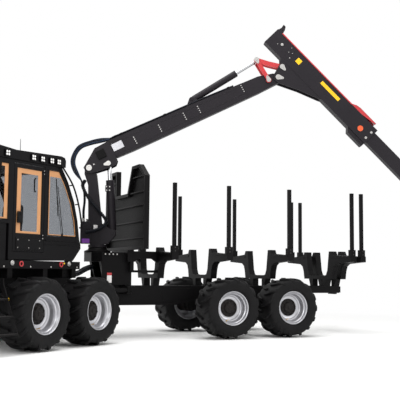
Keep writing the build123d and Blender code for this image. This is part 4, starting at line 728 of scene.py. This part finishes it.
def inset(outline, widths):
    """An outline moved inward, each edge by its own width."""
    count = len(outline)
    area = sum(outline[i][0] * outline[(i + 1) % count][1] - outline[(i + 1) % count][0] * outline[i][1]
               for i in range(count))
    sense = 1 if area > 0 else -1
    moved = []
    for i in range(count):
        (ax, az), (bx, bz) = outline[i], outline[(i + 1) % count]
        length = math.hypot(bx - ax, bz - az)
        nx, nz = -sense * (bz - az) / length, sense * (bx - ax) / length
        moved.append((ax + nx * widths[i], az + nz * widths[i], bx - ax, bz - az))
    inner = []
    for i in range(count):
        px, pz, dx, dz = moved[i - 1]
        qx, qz, ex, ez = moved[i]
        t = ((qx - px) * ez - (qz - pz) * ex) / (dx * ez - dz * ex)
        inner.append((px + dx * t, pz + dz * t))
    return inner


def add_ring(bm, outline, widths, view, low, high):
    """A flat ring between an outline and the same outline moved inward."""
    turn = AXES[view]
    inner = inset(outline, widths)
    count = len(outline)
    layers = [[bm.verts.new(turn(a, b, level)) for a, b in edge] for level in (low, high)
              for edge in (outline, inner)]
    low_out, low_in, high_out, high_in = layers
    for i in range(count):
        j = (i + 1) % count
        bm.faces.new((low_out[i], low_out[j], low_in[j], low_in[i]))
        bm.faces.new((high_out[j], high_out[i], high_in[i], high_in[j]))
        bm.faces.new((low_out[j], low_out[i], high_out[i], high_out[j]))
        bm.faces.new((low_in[i], low_in[j], high_in[j], high_in[i]))


def on_boom(origin, angle, distance, height, side=0.0):
    """A point of the crane, a distance along a boom and a height square to it."""
    turn = math.radians(angle)
    return (origin[0] + distance * math.cos(turn) - height * math.sin(turn), side,
            origin[1] + distance * math.sin(turn) + height * math.cos(turn))


LIFT = ((-0.210, 3.690), 27.077)  # the boom's pin in x and z, and its angle in degrees
JIB = ((3.980, 5.832), -45.4)
BOOM_SIDE, JIB_SIDE, BASE_SIDE = 0.1202, 0.1182, 0.4202  # 0.2 mm off the steel, so nothing flickers


def add_boom_plate(bm, boom, corners, low, high):
    """A plate in the crane's plane, its corners given along and square to a boom."""
    add_plate(bm, [on_boom(*boom, a, h)[::2] for a, h in corners], "side", low, high)


# %% [markdown]
# ## Cab windows
# Every pane is masked with a tan band round its edge, wide at the top, where the blind hides, and a
# rubber seal closes the gap to the steel. The door's band moves with the door.
# %% Window bands and seals
CAB_SIDE, SHELL_SIDE, RAIL_SIDE = 0.900, 0.9002, 0.9202  # the last two stand 0.2 mm off the steel
quarter_pane = [(1.165, 2.095), (2.005, 2.095), (2.005, 3.355), (1.705, 3.355), (1.505, 3.085),
                (1.325, 2.745), (1.215, 2.425)]
front_pane = [(3.035, 2.335), (3.360, 2.335), (3.235, 3.355), (3.035, 3.355)]
door_pane = rectangle(2.174, 2.097, 2.841, 3.311)
right_pane = rectangle(2.1105, 2.0955, 2.9045, 3.3595)
for side in SIDES:
    name = "left" if side == 1 else "right"

    @piece("front_frame", edge_band, name=f"window_band_{name}")
    def window_band(bm):
        low = side * (CAB_SIDE - 0.0148)
        high = low + side * 0.003
        add_ring(bm, quarter_pane, (0.03, 0.05, 0.125, 0.03, 0.03, 0.03, 0.03), "side", low, high)
        add_ring(bm, front_pane, (0.04, 0.02, 0.065, 0.10), "side", low, high)

    @piece("front_frame", seal_rubber, name=f"window_seal_{name}")
    def window_seal(bm):
        low, high = side * (CAB_SIDE - 0.020), side * (CAB_SIDE + 0.004)
        for pane in (quarter_pane, front_pane):
            add_ring(bm, pane, [0.012] * len(pane), "side", low, high)


@piece("cab_door", edge_band)
def door_window_band(bm):
    add_ring(bm, door_pane, (0.05, 0.125, 0.10, 0.105), "side", 0.8822, 0.8850)


@piece("cab_door", seal_rubber)
def door_window_seal(bm):
    add_ring(bm, door_pane, [0.010] * 4, "side", 0.880, 0.896)


@piece("front_frame", window)
def cab_end_panes(bm):
    """The windscreen and the bent rear pane, which close the cab's ends."""
    for outline in (
            [(3.400, 2.331), (3.412, 2.331), (3.290, 3.359), (3.278, 3.359)],
            [(1.105, 2.121), (1.158, 2.420), (1.279, 2.793), (1.467, 3.158), (1.603, 3.359), (1.616, 3.359),
             (1.478, 3.151), (1.290, 2.788), (1.170, 2.417), (1.117, 2.121)]):
        add_plate(bm, outline, "side", -0.8145, 0.8145)


@piece("front_frame", window)
def cab_right_pane(bm):
    add_plate(bm, right_pane, "side", -0.8850, -0.8730)


@piece("front_frame", edge_band)
def cab_right_band(bm):
    add_ring(bm, right_pane, (0.05, 0.10, 0.10, 0.10), "side", -0.8882, -0.8852)


print("window bands done")

# %% [markdown]
# ## Door
# The lower panel is a pressed cover held by its own screws. The lock is a flush box with a pull, and
# a grab handle stands behind the pane.
# %% Door trim
@piece("cab_door", cab_paint, bevel=0.004)
def door_panel(bm):
    add_plate(bm, [(2.180, 1.800), (2.420, 1.800), (2.835, 1.800), (2.835, 2.030), (2.180, 2.030)],
              "side", SHELL_SIDE, 0.9100)
    add_plate(bm, rectangle(2.205, 1.825, 2.810, 2.005), "side", 0.9095, 0.9150)


@piece("cab_door", seal_rubber, bevel=0.004)
def door_lock(bm):
    add_block(bm, (2.690, SHELL_SIDE, 2.290), (2.815, 0.930, 2.500))
    add_block(bm, (2.700, 0.929, 2.330), (2.800, 0.938, 2.400))
    add_turned(bm, (2.755, 0.929, 2.455), (0, 1, 0), ((0, 0), (0, 0.016), (0.010, 0.016), (0.012, 0)), 16)


@piece("cab_door", seal_rubber, smooth=True)
def door_grab_handle(bm):
    add_hose(bm, [(2.305, 0.852, 2.90), (2.300, 0.815, 2.93), (2.290, 0.805, 3.03), (2.300, 0.815, 3.13),
                  (2.305, 0.852, 3.16)], 0.013)


@piece("cab_door", zinc)
def door_bolts(bm):
    add_bolt_grid(bm, (2.225, 2.507, 2.790), 0.9148, (1.845, 1.985), 1, 0.010)
    add_bolt_grid(bm, (2.140,), 0.9110, (2.030, 2.090, 3.25, 3.31), 1, 0.011)


print("door trim done")


# %% [markdown]
# ## Cab outside
# A bent guard rail follows the cab's rear edge on stand-offs, a rain ledge runs under the quarter
# window, and a pantograph wiper is parked on it.
# %% Guard rails, ledges and wipers
@piece("front_frame", machine_paint, smooth=True)
def cab_guard_rails(bm):
    for side in SIDES:
        out = side * 0.955
        add_hose(bm, [(1.690, side * 0.925, 3.470), (1.640, out, 3.400), (1.360, out, 3.105),
                      (1.185, out, 2.748), (1.085, out, 2.380), (1.060, side * 0.925, 2.300),
                      (1.085, side * 0.900, 2.290)], 0.017, 10)
        for x, z in ((1.378, 3.115), (1.193, 2.752)):
            add_bar(bm, (x + 0.03, side * 0.898, z - 0.01), (x, out, z), 0.012)


@piece("front_frame", cab_paint, bevel=0.004)
def cab_ledges(bm):
    for z, deep in ((2.004, 0.020), (1.930, 0.012)):
        add_side_blocks(bm, (1.085, SHELL_SIDE, z - 0.010), (2.062, SHELL_SIDE + deep, z + 0.010))


@piece("front_frame", seal_rubber)
def cab_wipers(bm):
    for side in SIDES:
        face = side * 0.893
        add_bar(bm, (1.560, face, 2.130), (1.735, face, 3.060), 0.007)
        add_bar(bm, (1.600, face, 2.130), (1.760, face, 2.960), 0.005)
        low, high = sorted((side * 0.886, side * 0.897))
        add_plate(bm, [(1.700, 2.480), (1.716, 2.480), (1.792, 3.200), (1.776, 3.200)], "side", low, high)
        add_turned(bm, (1.580, side * 0.8853, 2.125), (0, side, 0),
                   ((0, 0), (0, 0.026), (0.016, 0.022), (0.018, 0)), 16)


@piece("front_frame", seal_rubber, smooth=True)
def roof_antenna(bm):
    add_turned(bm, (2.480, 0.600, 3.620), (0, 0, 1),
               ((0, 0), (0, 0.032), (0.045, 0.026), (0.06, 0.010), (0.075, 0.006), (0.28, 0.004),
                (0.282, 0)), 16)


print("cab outside done")

# %% [markdown]
# ## Work lamps
# Each lamp is a square housing with four LED reflectors behind one lens.
# %% Lamps
LAMPS = (1.790, 1.985, 2.240, 2.480, 3.140)


@piece("front_frame", lamp_white)
def lamp_reflectors(bm):
    for side in SIDES:
        for x in LAMPS:
            for dx in (-0.025, 0.025):
                for dz in (-0.025, 0.025):
                    add_turned(bm, (x + dx, side * 0.9572, 3.525 + dz), (0, side, 0),
                               ((0, 0), (0, 0.021), (0.004, 0.021), (0.0042, 0.017), (0.002, 0.0)), 16)


@piece("front_frame", cab_paint, bevel=0.003)
def lamp_frames(bm):
    for side in SIDES:
        low, high = sorted((side * 0.9352, side * 0.9640))
        for x in LAMPS:
            square = rectangle(x - 0.064, 3.464, x + 0.064, 3.586)
            add_ring(bm, square, [0.012] * 4, "side", low, high)


nodes["roof_lamps"].data.materials[0] = seal_rubber


@piece("rear_frame", red_paint, bevel=0.004)
def rear_lamp_lenses(bm):
    for z in (0.975, 1.040):
        add_side_blocks(bm, (-2.8535, 0.225, z), (-2.8480, 0.315, z + 0.052))


nodes["rear_lamps"].data.materials[0] = seal_rubber
print("lamps done")

# %% [markdown]
# ## Seat
# The driver's seat is an upholstered cushion and back on a sprung base. The pads are crowned closed
# forms, drawn from a coarse cage and rounded by subdivision.
# %% Seat
def make_pad(name, low, high, lean):
    """A crowned pad between two corners, its top pushed back by a lean."""
    bm = bmesh.new()
    bmesh.ops.create_cube(bm, size=1.0)
    bmesh.ops.subdivide_edges(bm, edges=bm.edges, cuts=3, use_grid_fill=True)
    middle = [(a + b) / 2 for a, b in zip(low, high)]
    span = [b - a for a, b in zip(low, high)]
    for vert in bm.verts:
        crown = 1.0 - 0.35 * max(abs(vert.co.x), abs(vert.co.y)) ** 3 * 2
        vert.co = Vector((middle[0] + vert.co.x * span[0] + lean * (vert.co.z + 0.5),
                          middle[1] + vert.co.y * span[1],
                          middle[2] + vert.co.z * span[2] * (crown if vert.co.z > 0.2 else 1.0)))
    mesh = to_mesh(bm, name, seat_cloth, FRONT)
    pad = link_object(name, mesh)
    rounding = pad.modifiers.new("crown", "SUBSURF")
    rounding.levels = rounding.render_levels = 2
    mesh.shade_smooth()
    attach(pad, "front_frame")
    return pad


@piece("front_frame", seal_rubber, bevel=0.004)
def seat_base(bm):
    add_block(bm, (2.120, -0.140, 1.676), (2.380, 0.140, 1.760))
    for k in range(5):
        wide = 0.115 - 0.012 * (k % 2)
        add_block(bm, (2.250 - wide, -wide, 1.765 + 0.045 * k), (2.250 + wide, wide, 1.805 + 0.045 * k))
    add_block(bm, (2.020, -0.230, 1.990), (2.480, 0.230, 2.010))


make_pad("seat_cushion", (1.995, -0.255, 2.010), (2.505, 0.255, 2.145), 0.0)
make_pad("seat_back", (1.985, -0.235, 2.120), (2.115, 0.235, 2.735), -0.030)
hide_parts("cab_seat")
print("seat done")

# %% [markdown]
# ## Cab frame and bonnet
# The rails under the cab carry red tie-down rings and the caps of the cab's rubber mounts. The bonnet
# has a slatted grille on its nose, and the guard below it is bolted on.
# %% Rails, mounts and grille
@piece("front_frame", red_paint)
def tie_down_rings(bm):
    for side in SIDES:
        for x in (2.695, 1.619):
            add_turned(bm, (x, side * RAIL_SIDE, 1.550), (0, side, 0),
                       ((0, 0.030), (0, 0.052), (0.014, 0.052), (0.014, 0.030), (0, 0.030)), 24)


@piece("front_frame", zinc)
def mount_caps(bm):
    for side in SIDES:
        for x in (2.920, 1.390):
            add_turned(bm, (x, side * RAIL_SIDE, 1.565), (0, side, 0),
                       ((0, 0), (0, 0.045), (0.012, 0.045), (0.016, 0.030), (0.030, 0.026), (0.032, 0)), 24)
        add_bolt_grid(bm, (1.15, 1.9, 2.45, 3.12), side * RAIL_SIDE, (1.500,), side, 0.018)


@piece("front_frame", yellow_paint)
def rail_marks(bm):
    for side in SIDES:
        add_turned(bm, (1.527, side * RAIL_SIDE, 1.572), (0, side, 0),
                   ((0, 0), (0, 0.020), (0.004, 0.018), (0.0042, 0)), 16)


@piece("front_frame", machine_paint, bevel=0.004)
def rail_brackets(bm):
    add_side_blocks(bm, (1.080, 0.720, 1.300), (1.440, 0.800, 1.464))
    for side in SIDES:
        add_bolt_grid(bm, (1.15, 1.37), side * 0.7998, (1.385,), side, 0.020)


@piece("bonnet", machine_paint)
def bonnet_grille(bm):
    for k in range(9):
        z = 1.480 + 0.045 * k
        lean = 0.039 * (z - 1.38)
        add_plate(bm, [(4.095 + lean, z), (4.128 + lean, z + 0.004), (4.128 + lean, z + 0.016),
                       (4.095 + lean, z + 0.020)], "side", -0.56, 0.56)
    for y in (-0.58, 0.56):
        add_block(bm, (4.100, y, 1.450), (4.138, y + 0.02, 1.900))


@piece("front_frame", machine_paint)
def cowl_slats(bm):
    for k in range(7):
        add_side_blocks(bm, (3.090, 0.8702, 1.780 + 0.060 * k), (3.400, 0.8780, 1.802 + 0.060 * k))


@piece("front_frame", zinc)
def guard_bolts(bm):
    for y in (-0.70, -0.35, 0.0, 0.35, 0.70):
        for z in (0.86, 1.23):
            add_bolt(bm, (4.1682 if abs(y) > 0.6 else 4.2102, y, z), (1, 0, 0), 0.024)


@piece("ladder", dark_steel)
def ladder_grip_bars(bm):
    for step in range(3):
        height = 0.340 + step * 0.865 / 3
        out = 1.130 + (1.190 - height) / 0.870 * 0.390
        for k in range(5):
            add_block(bm, (3.385, out - 0.055 + 0.024 * k, height + 0.025),
                      (3.795, out - 0.045 + 0.024 * k, height + 0.033))


@piece("ladder", yellow_paint)
def ladder_mark(bm):
    add_block(bm, (3.349, 1.245, 0.900), (3.3452, 1.300, 0.960))


print("front frame done")

# %% [markdown]
# ## Crane pins
# Pins are held by zinc-plated keeper plates, each with a round eye and a tail that is bolted down, so
# that the pin can't turn or creep out. Each plate is one outline, cut as a laser would cut it.
# %% Keeper plates
def add_keeper(bm, at, toward, level, eye=0.060, tail=0.105):
    """A teardrop plate round a pin, its tail towards an angle, on the crane's left side."""
    turn = math.radians(toward)
    end = (at[0] + tail * math.cos(turn), at[1] + tail * math.sin(turn))
    corners = []
    for k in range(15):
        angle = turn + math.radians(60 + k * 240 / 14)
        corners.append((at[0] + eye * math.cos(angle), at[1] + eye * math.sin(angle)))
    for k in range(5):
        angle = turn + math.radians(-60 + k * 30)
        corners.append((end[0] + 0.026 * math.cos(angle), end[1] + 0.026 * math.sin(angle)))
    add_plate(bm, corners, "side", -level, -level - 0.008)
    add_bolt(bm, (end[0], -level - 0.0078, end[1]), (0, -1, 0), 0.015)
    add_turned(bm, (at[0], -level - 0.0078, at[1]), (0, -1, 0),
               ((0, 0), (0, 0.026), (0.006, 0.024), (0.0062, 0)), 24)


@piece("lift_boom", zinc)
def boom_keeper_plates(bm):
    add_keeper(bm, (0.213, 3.801), 200, 0.1722, 0.052, 0.085)
    add_keeper(bm, (3.768, 5.760), 115, 0.1302, 0.050, 0.080)
    add_turned(bm, (-0.210, -0.1722, 3.690), (0, -1, 0),
               ((0, 0), (0, 0.066), (0.010, 0.066), (0.012, 0.060), (0.012, 0.034), (0.004, 0.030),
                (0.004, 0)), 32)
    add_bolt(bm, (-0.105, -0.1602, 3.770), (0, -1, 0), 0.016)


@piece("jib", zinc)
def jib_keeper_plates(bm):
    add_keeper(bm, (3.985, 5.832), -12, JIB_SIDE, 0.060, 0.105)
    add_keeper(bm, (4.075, 6.075), -50, JIB_SIDE, 0.056, 0.090)


@piece("rocker", zinc)
def rocker_keeper_plate(bm):
    add_keeper(bm, (3.490, 6.220), -65, 0.1302, 0.056, 0.075)


print("keeper plates done")

# %% [markdown]
# ## Marks on the lift boom
# The boom is two pressed shells welded along their edges. A silver plate and a dark block stand near
# its foot, and rows of pale clips show where pipes were held.
# %% Lift boom
@piece("lift_boom", rim_paint)
def boom_silver_plate(bm):
    add_boom_plate(bm, LIFT, rectangle(0.655, 0.090, 0.905, 0.255), -BOOM_SIDE, -0.1225)


@piece("lift_boom", zinc)
def boom_clips(bm):
    for distance in (1.175, 1.787, 2.402, 2.757, 3.850):
        for height in (0.03, 0.08, 0.13, 0.18):
            lean = 0.02 * height
            corners = rectangle(distance - lean, height, distance + 0.022 - lean, height + 0.022)
            add_boom_plate(bm, LIFT, corners, -BOOM_SIDE, -0.1262)


@piece("lift_boom", machine_paint, bevel=0.006)
def boom_foot_block(bm):
    corners = rectangle(0.270, 0.060, 0.470, 0.250)
    add_boom_plate(bm, LIFT, corners, -0.1602, -0.1900)


@piece("lift_boom", crane_paint)
def boom_weld_seams(bm):
    for low, high in (((0.66, 0.005), (3.86, -0.008)), ((0.66, 0.265), (3.86, 0.170))):
        corners = [low, high, (high[0], high[1] + 0.008), (low[0], low[1] + 0.008)]
        add_boom_plate(bm, LIFT, corners, -BOOM_SIDE, -0.1232)


print("lift boom marked")

# %% [markdown]
# ## Trim of the jib
# The jib's outer end is a slide housing for the extension. Red guards keep the hoses from branches,
# and a horn at the tail leads them over the pin. The signs are bare patches of colour.
# %% Jib
@piece("jib", yellow_paint)
def jib_yellow_signs(bm):
    for a, b, low, high in ((0.006, 0.126, 0.536, 0.656), (0.761, 1.331, 0.595, 0.675)):
        add_boom_plate(bm, JIB, rectangle(a, low, b, high), -JIB_SIDE, -0.1200)


@piece("jib", orange_paint)
def jib_orange_disc(bm):
    add_turned(bm, on_boom(*JIB, 2.122, 0.529, -JIB_SIDE), (0, -1, 0),
               ((0, 0), (0, 0.065), (0.002, 0.065), (0.002, 0)), 32)


@piece("jib", zinc)
def jib_bolts(bm):
    for a, h, across in ((2.362, 0.643, 0.030), (2.358, 0.468, 0.030), (-0.469, 0.592, 0.034),
                         (-0.55, 0.53, 0.010), (-0.26, 0.70, 0.010), (-0.24, 0.58, 0.010),
                         (-0.16, 0.62, 0.010), (-0.13, 0.50, 0.014)):
        add_bolt(bm, on_boom(*JIB, a, h, -JIB_SIDE), (0, -1, 0), across)


@piece("jib", red_paint)
def jib_edge_rail(bm):
    add_boom_plate(bm, JIB, rectangle(-0.65, 0.768, 1.60, 0.792), -0.1250, -JIB_SIDE)


@piece("jib", red_paint)
def jib_hose_guard(bm):
    outline = [(1.56, 0.7802), (1.68, 0.840), (1.80, 0.868), (2.30, 0.868), (2.30, 0.845), (2.18, 0.825),
               (1.90, 0.7802)]
    for level in (-0.110, 0.098):
        add_boom_plate(bm, JIB, outline, level, level + 0.012)
    add_boom_plate(bm, JIB, [(1.68, 0.838), (1.80, 0.860), (2.30, 0.860), (2.30, 0.868), (1.80, 0.868),
                             (1.68, 0.846)], -0.110, 0.110)


@piece("jib", crane_paint, bevel=0.003)
def jib_tail_horn(bm):
    for level in (-0.100, 0.088):
        add_boom_plate(bm, JIB, [(-0.78, 0.7802), (-0.66, 0.7802), (-0.655, 0.860), (-0.700, 0.940),
                                 (-0.720, 0.952), (-0.775, 0.952), (-0.760, 0.860)], level, level + 0.012)
    for a, h, radius in ((-0.74, 0.925, 0.022), (-0.70, 0.840, 0.018)):
        add_bar(bm, on_boom(*JIB, a, h, -0.100), on_boom(*JIB, a, h, 0.100), radius)


@piece("jib", crane_paint, bevel=0.006)
def jib_slide_housing(bm):
    add_boom_plate(bm, JIB, [(1.90, 0.3548), (2.425, 0.3548), (2.425, 0.262), (1.985, 0.262)], -0.100, 0.100)
    for a in (2.05, 2.18, 2.31):
        add_bolt(bm, on_boom(*JIB, a, 0.31, -0.1002), (0, -1, 0), 0.022)


@piece("jib", crane_paint)
def jib_weld_seam(bm):
    corners = [(-0.10, 0.352), (1.02, 0.352), (1.00, 0.372), (-0.10, 0.372)]
    add_boom_plate(bm, JIB, corners, -JIB_SIDE, -0.1225)


print("jib trimmed")

# %% [markdown]
# ## Column trim
# The crane's valves stand in a row behind a ribbed cover on the column, each with its fittings on top.
# %% Column
@piece("crane_column", white_paint)
def column_plate(bm):
    add_plate(bm, rectangle(-0.085, 2.330, 0.002, 2.435), "side", -BOOM_SIDE, -0.1225)


@piece("crane_column", purple_paint)
def cover_plate(bm):
    add_plate(bm, rectangle(-0.335, 2.045, -0.165, 2.135), "side", -0.1502, -0.1525)


@piece("crane_column", crane_paint)
def valve_cover_ribs(bm):
    for k in range(5):
        z = 2.190 + 0.055 * k
        add_block(bm, (-0.355, -0.1552, z), (-0.170, -0.1502, z + 0.022))
    add_bolt_grid(bm, (-0.345, -0.175), -0.1502, (2.150, 2.480), -1, 0.013)


def valve_row(k):
    """How far to the side the k-th of the six valves and its hose stand."""
    return -0.115 + 0.046 * k


@piece("crane_column", zinc)
def valve_fittings(bm):
    for k in range(6):
        add_turned(bm, (-0.330 + 0.012 * (k % 2), valve_row(k), 2.511), (0, 0, 1),
                   ((0, 0), (0, 0.019), (0.045, 0.019), (0.050, 0.014), (0.085, 0.014), (0.087, 0)), 12)
        add_turned(bm, (-0.240, valve_row(k), 2.511), (0, 0, 1),
                   ((0, 0), (0, 0.015), (0.06, 0.015), (0.062, 0)), 12)


@piece("lift_barrel", crane_paint, bevel=0.004)
def barrel_bracket(bm):
    add_block(bm, (0.150, -0.108, 3.180), (0.275, -0.070, 3.316))


@piece("lift_barrel", zinc)
def barrel_bracket_bolts(bm):
    add_bolt_grid(bm, (0.178, 0.247), -0.1078, (3.208, 3.288), -1, 0.015)


print("column trimmed")

# %% [markdown]
# ## Crane hoses
# One hose rises from each valve behind the column, loops round the boom's pin and runs on along the
# boom's top in clamps. The loop is drawn for the boom's present lift and rides no body.
# %% Crane hoses
@piece("crane_column", hose_rubber, smooth=True)
def column_hoses(bm):
    for k in range(6):
        y = valve_row(k)
        add_hose(bm, [(-0.318, y, 2.585), (-0.322, y, 2.75), (-0.300 - 0.008 * (k % 2), y, 3.00),
                      (-0.330, y, 3.25), (-0.380, y, 3.420)], 0.016)


def loop_hose(bm, k):
    """The k-th hose from the column round the boom's pin to the boom's top."""
    y = valve_row(k)
    near = 0.038 * (k % 3)
    add_hose(bm, [(-0.380, y, 3.420), (-0.465 - near, y, 3.600), (-0.540 - near, y, 3.800),
                  (-0.515 - near, y, 3.990), (-0.400 - near * 0.7, y, 4.150 + near * 0.7),
                  (-0.200, y, 4.235 + near), (0.020, y, 4.290 + near),
                  (0.230, y, 4.345 + near * 0.45)], 0.014)


@piece(None, hose_rubber, smooth=True)
def boom_loop_hoses(bm):
    for k in (1, 3, 4, 5):
        loop_hose(bm, k)


@piece(None, blue_hose, smooth=True)
def boom_loop_blue_hoses(bm):
    for k in (0, 2):
        loop_hose(bm, k)


@piece("lift_boom", hose_rubber, smooth=True)
def boom_hoses(bm):
    for k in range(6):
        y = valve_row(k)
        lift = 0.030 * (k % 3) * 0.6
        add_hose(bm, [(0.230, y, 4.345 + lift)] + [on_boom(*LIFT, a, h, y) for a, h in (
            (0.80, 0.398), (1.05, 0.384), (2.50, 0.322), (2.95, 0.306), (3.40, 0.280), (3.70, 0.262))], 0.016)


@piece("lift_boom", machine_paint)
def boom_hose_clamps(bm):
    for a, h in ((0.95, 0.365), (2.0, 0.325), (3.55, 0.252)):
        add_boom_plate(bm, LIFT, [(a, h - 0.004), (a + 0.05, h - 0.006), (a + 0.05, h + 0.037),
                                  (a, h + 0.039)], -0.135, 0.135)


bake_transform(boom_loop_hoses)
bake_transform(boom_loop_blue_hoses)


@piece("crane_column", hose_rubber, smooth=True)
def column_coil_hose(bm):
    """A thick bundle in a spiral guard, down beside the column and round to the valves."""
    route = [(-0.300, -0.060, 3.420), (-0.340, -0.120, 3.282), (-0.186, -0.165, 2.996),
             (0.039, -0.175, 2.733), (0.190, -0.180, 2.514), (0.047, -0.175, 2.357),
             (-0.171, -0.165, 2.288), (-0.240, -0.140, 2.280)]
    add_hose(bm, route, 0.032, 12)
    path = smooth_path(route, 12)
    for here, following in list(zip(path, path[1:]))[::2]:
        add_turned(bm, here, following - here, ((0, 0), (0, 0.041), (0.012, 0.041), (0.012, 0)), 12)


print("hoses done")

# %% [markdown]
# ## Load space
# The headgate is slatted: upright steel slats stand close together in front of its sheet. Each stake
# is clamped in its socket by bolts.
# %% Headgate, stakes and bunks
@piece("rear_frame", machine_paint)
def headgate_slats(bm):
    """Upright slats in front of the gate's sheet, cut to the frame's outline."""
    for k in range(41):
        y = -1.205 + 0.06025 * k
        top = 3.655 - max(abs(y) - 0.905, 0) * 0.708
        if -0.620 < y < 0.245:
            top = 3.080
        elif 0.245 <= y < 0.520:
            top = 3.080 + (y - 0.245) * 2.09
        add_block(bm, (2.6592, y - 0.021, 1.970), (2.6700, y + 0.021, top))


BUNKS = (2.090, 0.800, -0.740, -2.460, -2.730)


@piece("rear_frame", dark_steel)
def stake_bolts(bm):
    for side in SIDES:
        add_bolt_grid(bm, BUNKS, side * 1.4052, (1.875, 1.945), side, 0.017)


@piece("rear_frame", machine_paint)
def bunk_ribs(bm):
    for x in BUNKS:
        for side in SIDES:
            for edge in (-0.0752, 0.0752):
                low, high = sorted((x + edge, x + edge * 1.12))
                corners = ((0.62, 1.80), (1.40, 1.80), (1.40, 1.826), (0.62, 1.846))
                add_plate(bm, [(side * y, z) for y, z in corners], "front", low, high)


@piece("rear_frame", zinc)
def pedestal_studs(bm):
    for x in (3.301, 3.211, 3.125, 3.037):
        for side in SIDES:
            add_turned(bm, (x, side * BASE_SIDE, 1.800), (0, side, 0),
                       ((0, 0), (0, 0.017), (0.008, 0.015), (0.0085, 0)), 16)


@piece("rear_frame", zinc)
def filter_cap(bm):
    add_turned(bm, (2.980, 0.262, 1.560), (0, 0, 1),
               ((0, 0), (0, 0.056), (0.060, 0.056), (0.072, 0.040), (0.0722, 0)), 24)


@piece("rear_frame", red_paint)
def pedestal_red_plate(bm):
    add_plate(bm, rectangle(3.150, 1.345, 3.255, 1.400), "side", BASE_SIDE, 0.4225)


@piece("rear_frame", white_paint)
def pedestal_white_plate(bm):
    add_plate(bm, rectangle(3.150, 1.185, 3.255, 1.343), "side", BASE_SIDE, 0.4225)


@piece("rear_frame", dark_steel)
def slewing_bolts(bm):
    for k in range(16):
        angle = math.tau * k / 16
        add_bolt(bm, (3.350 + 0.262 * math.cos(angle), 0.262 * math.sin(angle), 1.8692), (0, 0, 1), 0.022)


print("rear frame trimmed")

# %% [markdown]
# ## Hoses over the joint
# A bundle of hoses crosses from the pedestal to the front frame beside the steering pin. It is drawn
# for the present steering, its far end placed in the front frame's axes, and it rides neither frame.
# %% Joint hoses
@piece(None, hose_rubber, smooth=True, matrix=REAR)
def joint_hoses(bm):
    to_rear = REAR.inverted() @ FRONT
    for k in range(7):
        y = -0.150 + 0.050 * k
        sag = 0.030 * (k % 3)
        joint = [(3.470, y, 1.560 - sag), (3.620, y, 1.500 - sag), (3.760, y * 0.9, 1.420 - sag)]
        turned = [(0.20, y, 1.390 - sag), (0.40, y, 1.340 - sag), (0.52, y, 1.270)]
        add_hose(bm, joint + [tuple(to_rear @ Vector(p)) for p in turned], 0.018)


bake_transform(joint_hoses)
print("joint hoses done")
